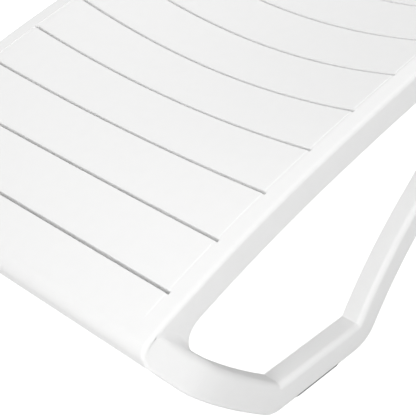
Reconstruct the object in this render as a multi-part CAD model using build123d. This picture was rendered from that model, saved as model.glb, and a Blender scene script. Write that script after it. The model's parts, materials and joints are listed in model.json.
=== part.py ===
from build123d import *
import os
from math import asin, atan2, cos, radians, sin, sqrt, tan

# Reclining sun lounger in moulded resin: a dished, slotted seat moulding on four loop legs, with a
# hinged slotted backrest, a prop that steps along two toothed racks, and two wheels at the head end.
# The foot end is at -X, the head end at +X, and Z is up from the floor. All lengths are in mm.
# Every piece is built with the tip of the nose at x = 0 and moved to the middle by place().

# ---- Slotted surfaces -------------------------------------------------------------------------
SLOT_PITCH = 93.5
SLOT_WIDTH = 5.0
SEAT_SLOT_LENGTH = 560.0
SEAT_SLOTS = 12
PANEL_BAND = 32.0           # from a backrest slot's end to the side of the backrest
PANEL_SLOTS = 7
SKIN = 4.0                  # wall of every moulding
RIB = 3.0                   # ribs and slot flanges
SEAT_RIB_DEPTH = 18.0       # skin and flange together
PANEL_RIB_DEPTH = 16.0
RIB_LINES = 3               # ribs along the length, spread evenly across the surface
DECK_STEP = 1.4             # the rail bands stand this far above the slotted surface

# ---- Line of the side rail, from the nose to the hip -------------------------------------------
FIRST_SLOT_Z = 268.5        # top of the rail beside the first slot
NOSE_TO_FIRST_SLOT = 62.0   # along the surface, from the end of the nose bend
FOOT_SLOPE = 23.4
CALF_SLOPE = 14.1
KNEE_SLOPE = 10.0
THIGH_SLOPE = -6.5
CALF_PITCHES = 3            # first slot to the end of the steeper bend
SHIN_PITCHES = 4
KNEE_BEND = 260.0
HIP_BEND = 160.0
SEAT_DISH = 42.0            # depth of the hollow at the knees
HIP_DISH = 22.0
DISH_RUN = 5.3              # pitches over which the hollow grows from nothing
RAIL_BAND = 25.5            # from a slot's end to the outer face of the rail
RAIL_DEPTH = 47.5
RAIL_EDGE = 6.0             # radius along the rail's outer top edge
NOSE_RADIUS = 24.0
APRON_LEAN = 16.0           # the face under the nose leans back by this angle

# ---- Loop legs -----------------------------------------------------------------------------------
LEG_WIDTH = 32.5            # sideways, outboard of the rail
LEG_DEPTH = 48.0            # of the bar, seen from the side
LEG_EDGE = 6.0
LEG_WALL = 4.0
LEG_BAY = 62.0              # spacing of the ribs inside the hollow bar
PAD_THICKNESS = 4.0
PAD_WIDTH = 26.0
PAD_SHARE = 0.63            # of the sole's length
PAD_STUD = 6.0
PAD_STUD_LENGTH = 3.0
FRONT_SOLE_X = 225.5        # inner corner between the front leg and its sole
FRONT_SOLE_LENGTH = 176.0
FRONT_LEG_RISE = (38.0, 48.0, 235.0)      # first angle, last angle, length of the curve
STRUT_RISE = (59.5, 42.0, 194.0)
STRUT_GAP = 45.5            # from the hinge axis to the top bend of the rear strut
REAR_LEG_RISE = (66.0, 60.0, 260.0)
FLARE_LENGTH = 78.0         # the front leg swells out to its full width over this distance
CAP_INSET = 12.0            # top of a leg's end below the top of the rail
CAP_BEND = 20.0
CAP_TIP = 9.0               # radius of the pointed end of a strut
NOSE_INSET = 7.5            # the same at the nose, where the leg blends into the moulding
NOSE_LIP = 2.0              # the legs start this far inside the round of the nose
CLEAR_REACH = 140.0         # how far the outlines that trim the legs reach past them

# ---- Hip, backrest and prop --------------------------------------------------------------------
HINGE_DROP = 22.0           # hinge axis below the top of the rail
HIP_GAP = 24.0              # from the seat's rear edge to the hinge axis
REAR_RAIL_WIDTH = 34.0
PANEL_GAP = 4.5             # between the backrest and each rear rail
PANEL_START = 5.0           # front edge of the backrest past the hinge axis
PANEL_LENGTH = 728.0
PANEL_SINK = 2.0            # top of the backrest below the rails when it lies flat
PANEL_DISH = 20.0
PANEL_SKIRT = 18.0
PANEL_FIRST_SLOT = 78.0     # from the hinge axis
HEAD_GAP = 8.0
HEAD_BAR = 46.0
PROP_LENGTH = 320.0         # hinge axis to prop pivot, and prop pivot to foot bar
PROP_DROP = 14.0            # prop pivot below the hinge axis, backrest flat
RACK_TILT = 3.0             # the racks fall away towards the head end
REST_ANGLE = 40.0
NOTCH_ANGLES = (14.0, 27.0, 40.0, 53.0, 65.0)
ARM_THICKNESS = 10.0
ARM_HEIGHT = 18.0
ARM_BOSS = 11.0
LUG_THICKNESS = 6.0
SIDE_CLEAR = 2.0            # sideways gap beside each lug, arm and rack
FOOT_BAR = 12.0
SLEEVE_WALL = 3.0
PATH_CLEAR = 0.5            # between a sleeve and the tops of the rack's teeth
TOOTH_DEPTH = 5.0
RACK_BODY = 16.0
RACK_MARGIN = 26.0          # of ledge past the first and last places of the foot bar
RACK_PLATE = 5.0
RACK_LEDGE = 16.5
PIN = 12.0
PIN_HEAD = 20.0
PIN_HEAD_HEIGHT = 3.0
PROP_PIN = 8.0
RUN_FIT = 0.1               # radial gap where one piece turns in another
PIECE_GAP = 0.3             # gap between pieces that pass or face each other

# ---- Wheels and fasteners ------------------------------------------------------------------------
WHEEL = 140.0
TYRE_WALL = 9.0
WHEEL_WIDTH = 34.0
WHEEL_LIFT = 2.5            # wheels clear the floor until the foot end is lifted
WHEEL_SPOKES = 6
HUB = 30.0
AXLE = 12.0
CAP = 24.0
CAP_HEIGHT = 5.0
CLIP = 22.0
CLIP_THICKNESS = 4.0
SCREW = 5.0
SCREW_HEAD = 10.0
SCREW_HEAD_HEIGHT = 3.5
SCREW_LENGTH = 18.0
SCREW_INSET = 15.0          # from the inner line of a limb
SCREW_SPAN = 16.0           # between the two screws of a limb
BOSS_WALL = 4.0
SPIGOT_LENGTH = 58.0

# ---- Sizes that follow -----------------------------------------------------------------------------
SLOT_HALF = SEAT_SLOT_LENGTH / 2
RAIL_Y = SLOT_HALF + RAIL_BAND
WEB_Y = SLOT_HALF + 1
LEG_Y = RAIL_Y + LEG_WIDTH
REAR_RAIL_Y = RAIL_Y - REAR_RAIL_WIDTH
PANEL_Y = REAR_RAIL_Y - PANEL_GAP
PANEL_SLOT_HALF = PANEL_Y - PANEL_BAND
SLEEVE_RADIUS = FOOT_BAR / 2 + SLEEVE_WALL
SIDES = {"left": 1, "right": -1}


def spot(x, z, y=0.0):
    """A point in the side view, at y across the lounger."""
    return Vector(x, y, z)


class Walk:
    """A smooth line in the side view: bends and straights joined end to end."""

    def __init__(self, x, z, heading, runs):
        self.runs = []
        self.length = 0.0
        for length, end_heading in runs:
            self.runs.append((self.length, length, x, z, radians(heading), radians(end_heading)))
            x, z = self.along(self.runs[-1], length)
            self.length += length
            heading = end_heading

    @staticmethod
    def along(run, distance):
        _, length, x, z, first, last = run
        turn = (last - first) / length
        if abs(turn) < 1e-9:
            return x + distance * cos(first), z + distance * sin(first)
        now = first + turn * distance
        return x + (sin(now) - sin(first)) / turn, z + (cos(first) - cos(now)) / turn

    def run_at(self, s):
        for run in self.runs:
            if s <= run[0] + run[1] + 1e-6:
                return run
        return self.runs[-1]

    def heading(self, s):
        start, length, _, _, first, last = self.run_at(s)
        return first + (last - first) * (s - start) / length

    def at(self, s, drop=0.0, y=0.0):
        """The point at distance s, moved square to the line by drop, down when heading for +X."""
        run = self.run_at(s)
        x, z = self.along(run, s - run[0])
        a = self.heading(s)
        return spot(x + drop * sin(a), z - drop * cos(a), y)

    def edges(self, s0, s1, drop=0.0, y=0.0):
        """Edges of the line from s0 to s1, one for each bend or straight."""
        joints = [run[0] for run in self.runs if s0 + 1e-6 < run[0] < s1 - 1e-6]
        ends = [s0] + joints + [s1]
        made = []
        for a, b in zip(ends, ends[1:]):
            middle = (a + b) / 2
            p, q, r = self.at(a, drop, y), self.at(middle, drop, y), self.at(b, drop, y)
            _, _, _, _, first, last = self.run_at(middle)
            straight = abs(last - first) < 1e-9
            made.append(Edge.make_line(p, r) if straight else Edge.make_three_point_arc(p, q, r))
        return made

    def band(self, s0, s1, top, bottom, y=0.0):
        """The strip between two lines parallel to this one."""
        edges = self.edges(s0, s1, top, y) + self.edges(s0, s1, bottom, y)
        edges.append(Edge.make_line(self.at(s0, top, y), self.at(s0, bottom, y)))
        edges.append(Edge.make_line(self.at(s1, top, y), self.at(s1, bottom, y)))
        return closed_face(edges)

    def s_at_x(self, x):
        low, high = 0.0, self.length
        for _ in range(50):
            middle = (low + high) / 2
            if self.at(middle).X < x:
                low = middle
            else:
                high = middle
        return low


def closed_face(edges):
    return Face(Wire(edges))


def polygon(points, y=0.0):
    """A flat face in the side view through the points (x, z)."""
    corners = [spot(x, z, y) for x, z in points]
    return closed_face([Edge.make_line(a, b) for a, b in zip(corners, corners[1:] + corners[:1])])


def wide(face, width):
    """The face drawn at y, drawn out towards +Y by width."""
    return extrude(face, amount=width, dir=(0, 1, 0))


def rod(x, z, y0, y1, radius):
    """A round bar across the lounger, from y0 to y1."""
    return Pos(x, (y0 + y1) / 2, z) * Rot(90, 0, 0) * Cylinder(radius, abs(y1 - y0))


def ring(x, z, y0, y1, radius, bore):
    return rod(x, z, y0, y1, radius) - rod(x, z, y0, y1, bore)


def block(x0, x1, y0, y1, z0, z1):
    size = (abs(x1 - x0), abs(y1 - y0), abs(z1 - z0))
    return Pos((x0 + x1) / 2, (y0 + y1) / 2, (z0 + z1) / 2) * Box(*size)


def flip(shape, side):
    """The piece drawn on the left (+Y), or its mirror image on the right."""
    return shape if side > 0 else mirror(shape, about=Plane.XZ)


def one(shape):
    """The solid itself, out of whatever a boolean wrapped it in."""
    solids = shape.solids()
    return solids[0] if len(solids) == 1 else Compound(solids)


# ---- Line of the rail ------------------------------------------------------------------------------
def rail_line():
    """The top line of the side rail, from the end of the nose bend to the hip."""
    calf = NOSE_TO_FIRST_SLOT + CALF_PITCHES * SLOT_PITCH
    runs = [(calf, CALF_SLOPE), (SHIN_PITCHES * SLOT_PITCH, KNEE_SLOPE)]
    runs += [(KNEE_BEND, THIGH_SLOPE), (HIP_BEND, 0.0)]
    x = NOSE_RADIUS * (1 - sin(radians(FOOT_SLOPE)))
    at_first = Walk(x, 0.0, FOOT_SLOPE, runs).at(NOSE_TO_FIRST_SLOT)
    return Walk(x, FIRST_SLOT_Z - at_first.Z, FOOT_SLOPE, runs)


RAIL = rail_line()
NOSE_CENTRE = RAIL.at(0, NOSE_RADIUS)
SEAT_END = RAIL.at(RAIL.length).X
REAR_TOP = RAIL.at(RAIL.length).Z
HINGE_X = SEAT_END + HIP_GAP
HINGE_Z = REAR_TOP - HINGE_DROP
HEAD_X = HINGE_X + PANEL_START + PANEL_LENGTH + HEAD_GAP + HEAD_BAR
LENGTH = HEAD_X
SOLE_Z = PAD_THICKNESS
SLOT_STATIONS = [NOSE_TO_FIRST_SLOT + i * SLOT_PITCH for i in range(SEAT_SLOTS)]


def place(shape):
    """Moves a piece from the nose to the middle of the lounger."""
    return Pos(-LENGTH / 2, 0, 0) * shape


def rail_z(x):
    """Height of the rail's top line at x, over the whole length."""
    return REAR_TOP if x >= SEAT_END else RAIL.at(RAIL.s_at_x(x)).Z


# ---- Seat moulding -----------------------------------------------------------------------------------
def smooth(t):
    t = min(1.0, max(0.0, t))
    return t * t * (3 - 2 * t)


def dish(s):
    """Depth of the hollow in the middle of the seat at distance s along the rail."""
    grown = SEAT_DISH * smooth((s - NOSE_TO_FIRST_SLOT) / (DISH_RUN * SLOT_PITCH))
    knee = RAIL.length - HIP_BEND - KNEE_BEND
    eased = (SEAT_DISH - HIP_DISH) * smooth((s - knee) / (RAIL.length - knee))
    return max(0.6, grown - eased)


def across(line, s, half, top, depth, thickness):
    """A closed section across a slotted surface: an arc sagging by depth, and its underside."""
    a, b, c = line.at(s, top, -half), line.at(s, top + depth, 0), line.at(s, top, half)
    low = top + thickness
    d, e, f = line.at(s, low, -half), line.at(s, low + depth, 0), line.at(s, low, half)
    edges = [Edge.make_three_point_arc(a, b, c), Edge.make_line(c, f)]
    edges += [Edge.make_three_point_arc(f, e, d), Edge.make_line(d, a)]
    return closed_face(edges)


def slotted(line, s0, s1, slots, half, skirt_half, top, depth, rib_depth):
    """A dished, slotted skin with a flange down each side of every slot and ribs along it."""
    middles = [s0] + slots + [s1]
    skins, deeps = [], []
    for s in middles:
        skins.append(across(line, s, skirt_half, top(s), depth(s), SKIN))
        deeps.append(across(line, s, skirt_half, top(s) + SKIN / 2, depth(s), rib_depth - SKIN / 2))
    skin, deep = loft(skins, ruled=True), loft(deeps, ruled=True)
    reach = 4 * rib_depth + 2 * max(depth(s) for s in middles)
    plates = [flat_plate(line, s, SLOT_WIDTH + 2 * RIB, skirt_half, reach) for s in slots]
    plates += [flat_plate(line, s0 + RIB / 2, RIB, skirt_half, reach)]
    plates += [flat_plate(line, s1 - RIB / 2, RIB, skirt_half, reach)]
    for i in range(RIB_LINES):
        y = half * 2 * ((i + 1) / (RIB_LINES + 1) - 0.5)
        plates.append(wide(line.band(s0, s1, -reach, reach, y - RIB / 2), RIB))
    ribs = (plates[0] + plates[1:]) & deep
    return (skin + ribs) - [flat_plate(line, s, SLOT_WIDTH, half, reach) for s in slots]


def flat_plate(line, s, thickness, half, reach):
    """A plate square to the line at s, as wide as the surface."""
    centre, a = line.at(s), line.heading(s)
    plane = Plane(origin=centre, x_dir=(cos(a), 0, sin(a)), z_dir=(-sin(a), 0, cos(a)))
    return plane * Box(thickness, 2 * half, 2 * reach)


def nose_edges(inset, y):
    """The round of the nose and the straight face under it, moved in by inset."""
    radius = NOSE_RADIUS - inset
    top, lean = radians(90 + FOOT_SLOPE), radians(180 + APRON_LEAN)
    ends = []
    for a in (top, (top + lean) / 2, lean):
        ends.append(spot(NOSE_CENTRE.X + radius * cos(a), NOSE_CENTRE.Z + radius * sin(a), y))
    return ends


def seat_outline(inset, depth, end_s, y):
    """Side view of the rail and nose, from the nose to end_s, open or closed below by depth."""
    a, b, c = nose_edges(inset, y)
    lean = radians(APRON_LEAN)
    low = RAIL.at(0, depth, y)
    drop = (c.Z - low.Z) / cos(lean)
    foot = spot(c.X + drop * sin(lean), low.Z, y)
    edges = RAIL.edges(0, end_s, inset, y) + RAIL.edges(0, end_s, depth, y)
    edges += [Edge.make_three_point_arc(a, b, c), Edge.make_line(c, foot), Edge.make_line(foot, low)]
    edges.append(Edge.make_line(RAIL.at(end_s, inset, y), RAIL.at(end_s, depth, y)))
    return closed_face(edges)


def edges_at(shape, y, keep=lambda edge: True):
    """Edges that lie wholly in the plane at y."""
    found = ShapeList()
    for edge in shape.edges():
        box = edge.bounding_box()
        if abs(box.min.Y - y) < 1e-3 and abs(box.max.Y - y) < 1e-3 and keep(edge):
            found.append(edge)
    return found


def on_top_line(edge):
    """Whether an edge runs along the top of the rail or round the nose, not along the bottom."""
    middle = edge.position_at(0.5)
    if middle.X < NOSE_CENTRE.X:
        return middle.Z > NOSE_CENTRE.Z - NOSE_RADIUS
    s = RAIL.s_at_x(middle.X)
    return middle.Z > RAIL.at(s).Z - RAIL_DEPTH / 2 and middle.X < SEAT_END - 1


def seat_deck(screws):
    """The moulding from the nose to the hip: skin, rails, webs, flanges and ribs in one."""
    end = RAIL.length
    deep = RAIL_DEPTH + 60
    start = NOSE_TO_FIRST_SLOT / 2
    body = wide(seat_outline(0, RAIL_DEPTH, end, -RAIL_Y), 2 * RAIL_Y)
    edges = edges_at(body, RAIL_Y, on_top_line) + edges_at(body, -RAIL_Y, on_top_line)
    body = fillet(edges, RAIL_EDGE)
    cuts = [wide(seat_outline(SKIN, deep, end, -WEB_Y), 2 * WEB_Y)]
    cuts.append(wide(RAIL.band(start, end, -SKIN, SKIN + 1, -SLOT_HALF), 2 * SLOT_HALF))
    # Each rail is a channel, open below, in bays between ribs. The last bay takes the rear rail.
    wall_y, channel = WEB_Y + SKIN, RAIL_Y - WEB_Y - 2 * SKIN
    stations = [start] + [s + SLOT_PITCH / 2 for s in SLOT_STATIONS[:-1]] + [end - SPIGOT_LENGTH]
    bays_s = [(a + RIB, b) for a, b in zip(stations, stations[1:])] + [(stations[-1] + RIB, end)]
    for y in (wall_y, -wall_y - channel):
        cuts += [wide(RAIL.band(a, b, SKIN, deep, y), channel) for a, b in bays_s]
    nose = wide(seat_outline(SKIN, deep, start, -RAIL_Y + SKIN), 2 * (RAIL_Y - SKIN))
    body = (body - nose) - cuts

    def top(s):
        return DECK_STEP * smooth((s - start) / (NOSE_TO_FIRST_SLOT - start))

    body += slotted(RAIL, start, end, SLOT_STATIONS, SLOT_HALF, WEB_Y + SKIN / 2, top, dish, SEAT_RIB_DEPTH)
    holes = [screw_hole(x, z, side) for x, z in screws for side in SIDES.values()]
    for side in SIDES.values():
        span = (side * (WEB_Y - 1), side * (WEB_Y + SKIN + 1))
        holes += [rod(x, z, *span, SCREW / 2 + RUN_FIT) for x, z in splice_screws()]
    return body - holes


def screw_hole(x, z, side):
    return rod(x, z, side * (RAIL_Y - SKIN - 1), side * (RAIL_Y + 1), SCREW / 2 + RUN_FIT)


# ---- Loop legs ---------------------------------------------------------------------------------------
def facing(shape, corner_x, towards):
    """A shape drawn about x = 0 heading for +X, turned to face and moved to its corner."""
    turned = mirror(shape, about=Plane.YZ) if towards < 0 else shape
    return Pos(corner_x, 0, 0) * turned


def limb(corner_x, towards, rise, inset):
    """The inner line of a limb: up from the sole, then bending level just under the rail's top."""
    first, last, length = rise
    low, high = 1.0, 700.0
    for _ in range(50):
        middle = (low + high) / 2
        runs = [(length, last), (middle, last), (radians(last) * CAP_BEND, 0.0)]
        walk = Walk(0, SOLE_Z + LEG_DEPTH, first, runs)
        top = walk.at(walk.length)
        if top.Z < rail_z(corner_x + towards * top.X) - inset:
            low = middle
        else:
            high = middle
    return walk


def limb_solid(walk, last):
    """The solid bar of one limb, drawn about x = 0, cut off level under the top of the rail."""
    y = RAIL_Y
    bend_start = walk.length - radians(last) * CAP_BEND
    top, under = walk.at(walk.length, 0, y), walk.at(bend_start, LEG_DEPTH, y)
    tip = spot(under.X + (top.Z - under.Z) / tan(radians(last)), top.Z, y)
    edges = walk.edges(0, walk.length, 0, y) + walk.edges(0, bend_start, LEG_DEPTH, y)
    edges += [Edge.make_line(top, tip), Edge.make_line(tip, under)]
    edges.append(Edge.make_line(walk.at(0, 0, y), walk.at(0, LEG_DEPTH, y)))
    body = wide(closed_face(edges), LEG_WIDTH)
    point = body.edges().filter_by(Axis.Y).sort_by(Axis.X)[-1]
    return fillet(point, CAP_TIP)


def corner_solid(first):
    """The outside of a corner: a sector as deep as the bar, about the sharp inner corner."""
    centre = spot(0, SOLE_Z + LEG_DEPTH, RAIL_Y)
    arc = Edge.make_three_point_arc(*[centre + spot(LEG_DEPTH * sin(a), -LEG_DEPTH * cos(a))
                                      for a in (0, radians(first) / 2, radians(first))])
    edges = [arc, Edge.make_line(centre, arc @ 0), Edge.make_line(arc @ 1, centre)]
    return wide(closed_face(edges), LEG_WIDTH)


def limb_bays(walk, usable):
    """Pockets along a limb that make the bar a channel, open to the inside, between ribs."""
    count = max(1, int(usable // LEG_BAY))
    step = usable / count
    pocket = LEG_WIDTH - LEG_WALL
    made = []
    for i in range(count):
        s0, s1 = i * step + RIB, (i + 1) * step
        made.append(wide(walk.band(s0, s1, LEG_WALL, LEG_DEPTH - LEG_WALL, RAIL_Y), pocket))
    return made


def sole_bays(x0, length):
    count = int(length // LEG_BAY)
    step = length / count
    low, high = SOLE_Z + LEG_WALL, SOLE_Z + LEG_DEPTH - LEG_WALL
    y1 = LEG_Y - LEG_WALL
    return [block(x0 + i * step + RIB, x0 + (i + 1) * step, RAIL_Y, y1, low, high) for i in range(count)]


class Loop:
    """One loop leg, drawn on the left: two limbs, the sole between them, and where it is fixed."""

    def __init__(self, x0, x1, foot_rise, head_rise, foot_inset):
        self.x0, self.x1 = x0, x1
        self.rises = {-1: foot_rise, 1: head_rise}
        self.walks = {-1: limb(self.x0, -1, foot_rise, foot_inset)}
        self.walks[1] = limb(self.x1, 1, head_rise, CAP_INSET)

    def corner(self, towards):
        return self.x0 if towards < 0 else self.x1

    def bend_start(self, towards):
        """Distance up a limb to the bend at its top."""
        return self.walks[towards].length - radians(self.rises[towards][1]) * CAP_BEND

    def spot(self, towards, s, drop):
        """A point of the limb in the side view, at s up its inner line and drop into the bar."""
        p = self.walks[towards].at(s, drop)
        return self.corner(towards) + towards * p.X, p.Z

    def outside(self):
        pieces = [block(self.x0, self.x1, RAIL_Y, LEG_Y, SOLE_Z, SOLE_Z + LEG_DEPTH)]
        for towards, walk in self.walks.items():
            first, last, _ = self.rises[towards]
            x = self.corner(towards)
            pieces.append(facing(limb_solid(walk, last), x, towards))
            pieces.append(facing(corner_solid(first), x, towards))
        return pieces[0] + pieces[1:]

    def pockets(self):
        made = sole_bays(self.x0, self.x1 - self.x0)
        for towards, walk in self.walks.items():
            for bay in limb_bays(walk, self.bend_start(towards) - LEG_DEPTH):
                made.append(facing(bay, self.corner(towards), towards))
        return made

    def pad_x(self):
        middle, half = (self.x0 + self.x1) / 2, (self.x1 - self.x0) * PAD_SHARE / 2
        return middle - half, middle + half


def trimmer(edges):
    """A cutter wider than a leg, from a closed outline drawn just inside the leg's inner face."""
    return wide(closed_face(edges), LEG_WIDTH + 2)


def lines_through(points):
    return [Edge.make_line(p, q) for p, q in zip(points, points[1:])]


def past_nose(inset):
    """Everything in front of the nose, moved in by inset: it trims the front leg to the nose."""
    y, radius, lean = RAIL_Y - 1, NOSE_RADIUS - inset, radians(APRON_LEAN)
    arc = [arc_point(radius, angle, y) for angle in (90, 135 + APRON_LEAN / 2, 180 + APRON_LEAN)]
    foot = arc[2] + CLEAR_REACH * spot(sin(lean), -cos(lean))
    corners = [arc[2], foot, spot(-CLEAR_REACH, foot.Z, y), spot(-CLEAR_REACH, arc[0].Z, y), arc[0]]
    return trimmer([Edge.make_three_point_arc(*arc)] + lines_through(corners))


def arc_point(radius, angle, y):
    a = radians(angle)
    return spot(NOSE_CENTRE.X + radius * cos(a), NOSE_CENTRE.Z + radius * sin(a), y)


def past_flare():
    """Everything outside the swelling of the front leg, from the rail's face to its full width."""
    a, b = FLARE_LENGTH, LEG_WIDTH
    middle = radians(135)
    points = [(0, 0), (a + a * cos(middle), b * sin(middle)), (a, b)]
    arc = Edge.make_three_point_arc(*[Vector(x, RAIL_Y + y, 0) for x, y in points])
    corners = [(a, b), (a, 2 * b), (-CLEAR_REACH, 2 * b), (-CLEAR_REACH, 0), (0, 0)]
    edges = [arc] + lines_through([Vector(x, RAIL_Y + y, 0) for x, y in corners])
    return extrude(closed_face(edges), amount=REAR_TOP, dir=(0, 0, 1))


def past_head(inset):
    """Everything past the head end, moved in by inset, with the same round as the nose."""
    y, radius = RAIL_Y - 1, NOSE_RADIUS - inset
    centre = spot(HEAD_X - NOSE_RADIUS, REAR_TOP - NOSE_RADIUS, y)
    arc = [centre + radius * spot(cos(radians(a)), sin(radians(a))) for a in (90, 45, 0)]
    far, low = HEAD_X + CLEAR_REACH, REAR_TOP - CLEAR_REACH
    corners = [arc[2], spot(arc[2].X, low, y), spot(far, low, y), spot(far, arc[0].Z, y), arc[0]]
    return trimmer([Edge.make_three_point_arc(*arc)] + lines_through(corners))


def leg(loop, trims, screws, axle=None):
    """One loop leg on the left: a channel with bosses for its screws, studs' holes and the axle."""
    body = loop.outside() - trims
    body = fillet(edges_at(body, LEG_Y), LEG_EDGE)
    bosses = [rod(x, z, RAIL_Y, LEG_Y, SCREW / 2 + BOSS_WALL) for x, z in screws]
    if axle:
        bosses.append(rod(*axle, RAIL_Y, LEG_Y, AXLE / 2 + BOSS_WALL * 2))
    pockets = [pocket - bosses for pocket in loop.pockets()]
    holes = [rod(x, z, RAIL_Y - 1, RAIL_Y + SCREW_LENGTH - SKIN + 1, SCREW / 2) for x, z in screws]
    if axle:
        holes.append(rod(*axle, RAIL_Y - 1, LEG_Y + 1, AXLE / 2))
    x0, x1 = loop.pad_x()
    y = RAIL_Y + LEG_WIDTH / 2
    for x in pad_studs(x0, x1):
        holes.append(Pos(x, y, SOLE_Z) * Cylinder(PAD_STUD / 2, 2 * PAD_STUD_LENGTH))
    return (body - pockets) - holes


def pad_studs(x0, x1):
    return (x0 + PAD_WIDTH / 2, x1 - PAD_WIDTH / 2)


def foot_pad(loop):
    """A non-slip strip with round ends, held under the sole by two studs."""
    x0, x1 = loop.pad_x()
    y = RAIL_Y + LEG_WIDTH / 2
    ends = pad_studs(x0, x1)
    strip = block(ends[0], ends[1], y - PAD_WIDTH / 2, y + PAD_WIDTH / 2, 0, SOLE_Z)
    rounds = [Pos(x, y, SOLE_Z / 2) * Cylinder(PAD_WIDTH / 2, SOLE_Z) for x in ends]
    studs = [Pos(x, y, SOLE_Z) * Cylinder(PAD_STUD / 2, 2 * PAD_STUD_LENGTH - PIECE_GAP) for x in ends]
    return strip + rounds + studs


FRONT_SOLE_END = FRONT_SOLE_X + FRONT_SOLE_LENGTH
FRONT = Loop(FRONT_SOLE_X, FRONT_SOLE_END, FRONT_LEG_RISE, STRUT_RISE, NOSE_INSET)


def limb_reach(rise, drop):
    """How far a limb under the level rear rail reaches from its sole, up to its top bend."""
    trial = limb(HEAD_X, 1, rise, CAP_INSET)
    return trial.at(trial.length - radians(rise[1]) * CAP_BEND, drop).X


def rear_loop():
    """The rear loop, from just behind the hinge to where its outer line meets the head end."""
    x0 = HINGE_X + STRUT_GAP + limb_reach(STRUT_RISE, 0)
    x1 = HEAD_X - limb_reach(REAR_LEG_RISE, LEG_DEPTH)
    return Loop(x0, x1, STRUT_RISE, REAR_LEG_RISE, CAP_INSET)


REAR = rear_loop()
AXLE_Z = WHEEL / 2 + WHEEL_LIFT


def axle_x():
    """The axle passes through the middle of the rear leg's bar."""
    walk = REAR.walks[1]
    low, high = 0.0, walk.length
    for _ in range(50):
        middle = (low + high) / 2
        if walk.at(middle, LEG_DEPTH / 2).Z < AXLE_Z:
            low = middle
        else:
            high = middle
    return REAR.x1 + walk.at(low, LEG_DEPTH / 2).X


AXLE_X = axle_x()


def front_screws():
    """Two screws where the leg meets the nose, and two where its strut ends on the rail."""
    x, z = NOSE_CENTRE.X, NOSE_CENTRE.Z
    nose = [(x - SCREW_HEAD / 2, z), (x + SCREW_HEAD, z - SCREW_HEAD)]
    return nose + limb_screws(FRONT, 1)


def limb_screws(loop, towards):
    """Two screws side by side at the end of a limb, inside both the limb and the rail."""
    x, z = loop.spot(towards, loop.bend_start(towards), SCREW_INSET)
    return [(x, z), (x + towards * SCREW_SPAN, z)]


def rear_screws():
    return limb_screws(REAR, -1) + limb_screws(REAR, 1)


# ---- Rear frame: rails, head bar and racks --------------------------------------------------------------
def end_round(x0, x1, y0, y1):
    """A side view of the rear rail or head bar, with the head end rounded like the nose."""
    low, top = REAR_TOP - RAIL_DEPTH, REAR_TOP
    c = spot(x1 - NOSE_RADIUS, top - NOSE_RADIUS, y0)
    arc = [c + spot(NOSE_RADIUS * cos(radians(a)), NOSE_RADIUS * sin(radians(a))) for a in (90, 45, 0)]
    corners = [arc[2], spot(x1, low, y0), spot(x0, low, y0), spot(x0, top, y0), arc[0]]
    edges = [Edge.make_three_point_arc(*arc)] + lines_through(corners)
    return wide(closed_face(edges), y1 - y0)


def rear_rail(screws):
    """A channel rail with a spigot that plugs into the seat's rail, and the hinge's bore."""
    low, top = REAR_TOP - RAIL_DEPTH, REAR_TOP
    body = end_round(SEAT_END, HEAD_X, REAR_RAIL_Y, RAIL_Y)
    body = fillet(edges_at(body, RAIL_Y, lambda e: e.position_at(0.5).Z > low + 1), RAIL_EDGE)
    first, last = HINGE_X + PIN + SKIN, HEAD_X - SKIN
    count = int((last - first) // SLOT_PITCH)
    step = (last - first) / count
    inner, outer = REAR_RAIL_Y + SKIN, RAIL_Y - SKIN
    shoulder, roof = top - NOSE_RADIUS, top - SKIN
    cuts = []
    for i in range(count):
        x0, x1 = first + i * step + RIB, first + (i + 1) * step
        cuts.append(block(x0, x1, inner, outer, low - 1, shoulder))
        cuts.append(block(x0, min(x1, HEAD_X - NOSE_RADIUS), inner, outer, shoulder - 1, roof))
    inside = (REAR_RAIL_Y, REAR_RAIL_Y + SCREW_LENGTH)
    inward = rack_screws() + [head_screw_spot()]
    bosses = [rod(x, z, *inside, SCREW / 2 + BOSS_WALL) for x, z in inward]
    spigot = block(SEAT_END - SPIGOT_LENGTH + 2 * RIB, SEAT_END, *SPIGOT_Y, low + SKIN, roof - PIECE_GAP)
    body = (body - cuts) + (bosses + [spigot])
    holes = [rod(x, z, *widened(inside), SCREW / 2) for x, z in inward]
    holes.append(rod(HINGE_X, HINGE_Z, REAR_RAIL_Y - 1, REAR_RAIL_Y + PIN_REACH, PIN / 2))
    holes += [rod(x, z, SPIGOT_Y[0] - 1, SPIGOT_Y[0] + SCREW_LENGTH, SCREW / 2) for x, z in splice_screws()]
    # Each leg screw goes in through an access hole in the rail's inner face.
    for x, z in screws:
        holes.append(rod(x, z, RAIL_Y - SKIN - 1, RAIL_Y + 1, SCREW / 2 + RUN_FIT))
        holes.append(rod(x, z, REAR_RAIL_Y - 1, RAIL_Y - SKIN, SCREW_HEAD / 2 + PIECE_GAP))
    return body - holes


def head_bar():
    """The cross member at the head end: a channel between the two rear rails."""
    y, low = REAR_RAIL_Y, REAR_TOP - RAIL_DEPTH
    x0, roof = HEAD_X - HEAD_BAR, REAR_TOP - SKIN
    body = end_round(x0, HEAD_X, -y, y)
    under_top = block(x0 + SKIN, HEAD_X - NOSE_RADIUS, -y + SKIN, y - SKIN, low - 1, roof)
    behind_end = block(x0 + SKIN, HEAD_X - SKIN, -y + SKIN, y - SKIN, low - 1, REAR_TOP - NOSE_RADIUS)
    ribs = [block(x0, HEAD_X - SKIN, v - RIB / 2, v + RIB / 2, low, REAR_TOP - NOSE_RADIUS)
            for v in (-y / 2, 0, y / 2)]
    return ((body - [under_top, behind_end]) + ribs) - [head_hole(side) for side in SIDES.values()]


SPIGOT_Y = (WEB_Y + SKIN + PIECE_GAP, RAIL_Y - SKIN - PIECE_GAP)


def splice_screws():
    """Two screws through the seat's web into each rear rail's spigot."""
    z = REAR_TOP - RAIL_DEPTH * 0.6
    return [(SEAT_END - SPIGOT_LENGTH * share, z) for share in (0.3, 0.7)]


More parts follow.
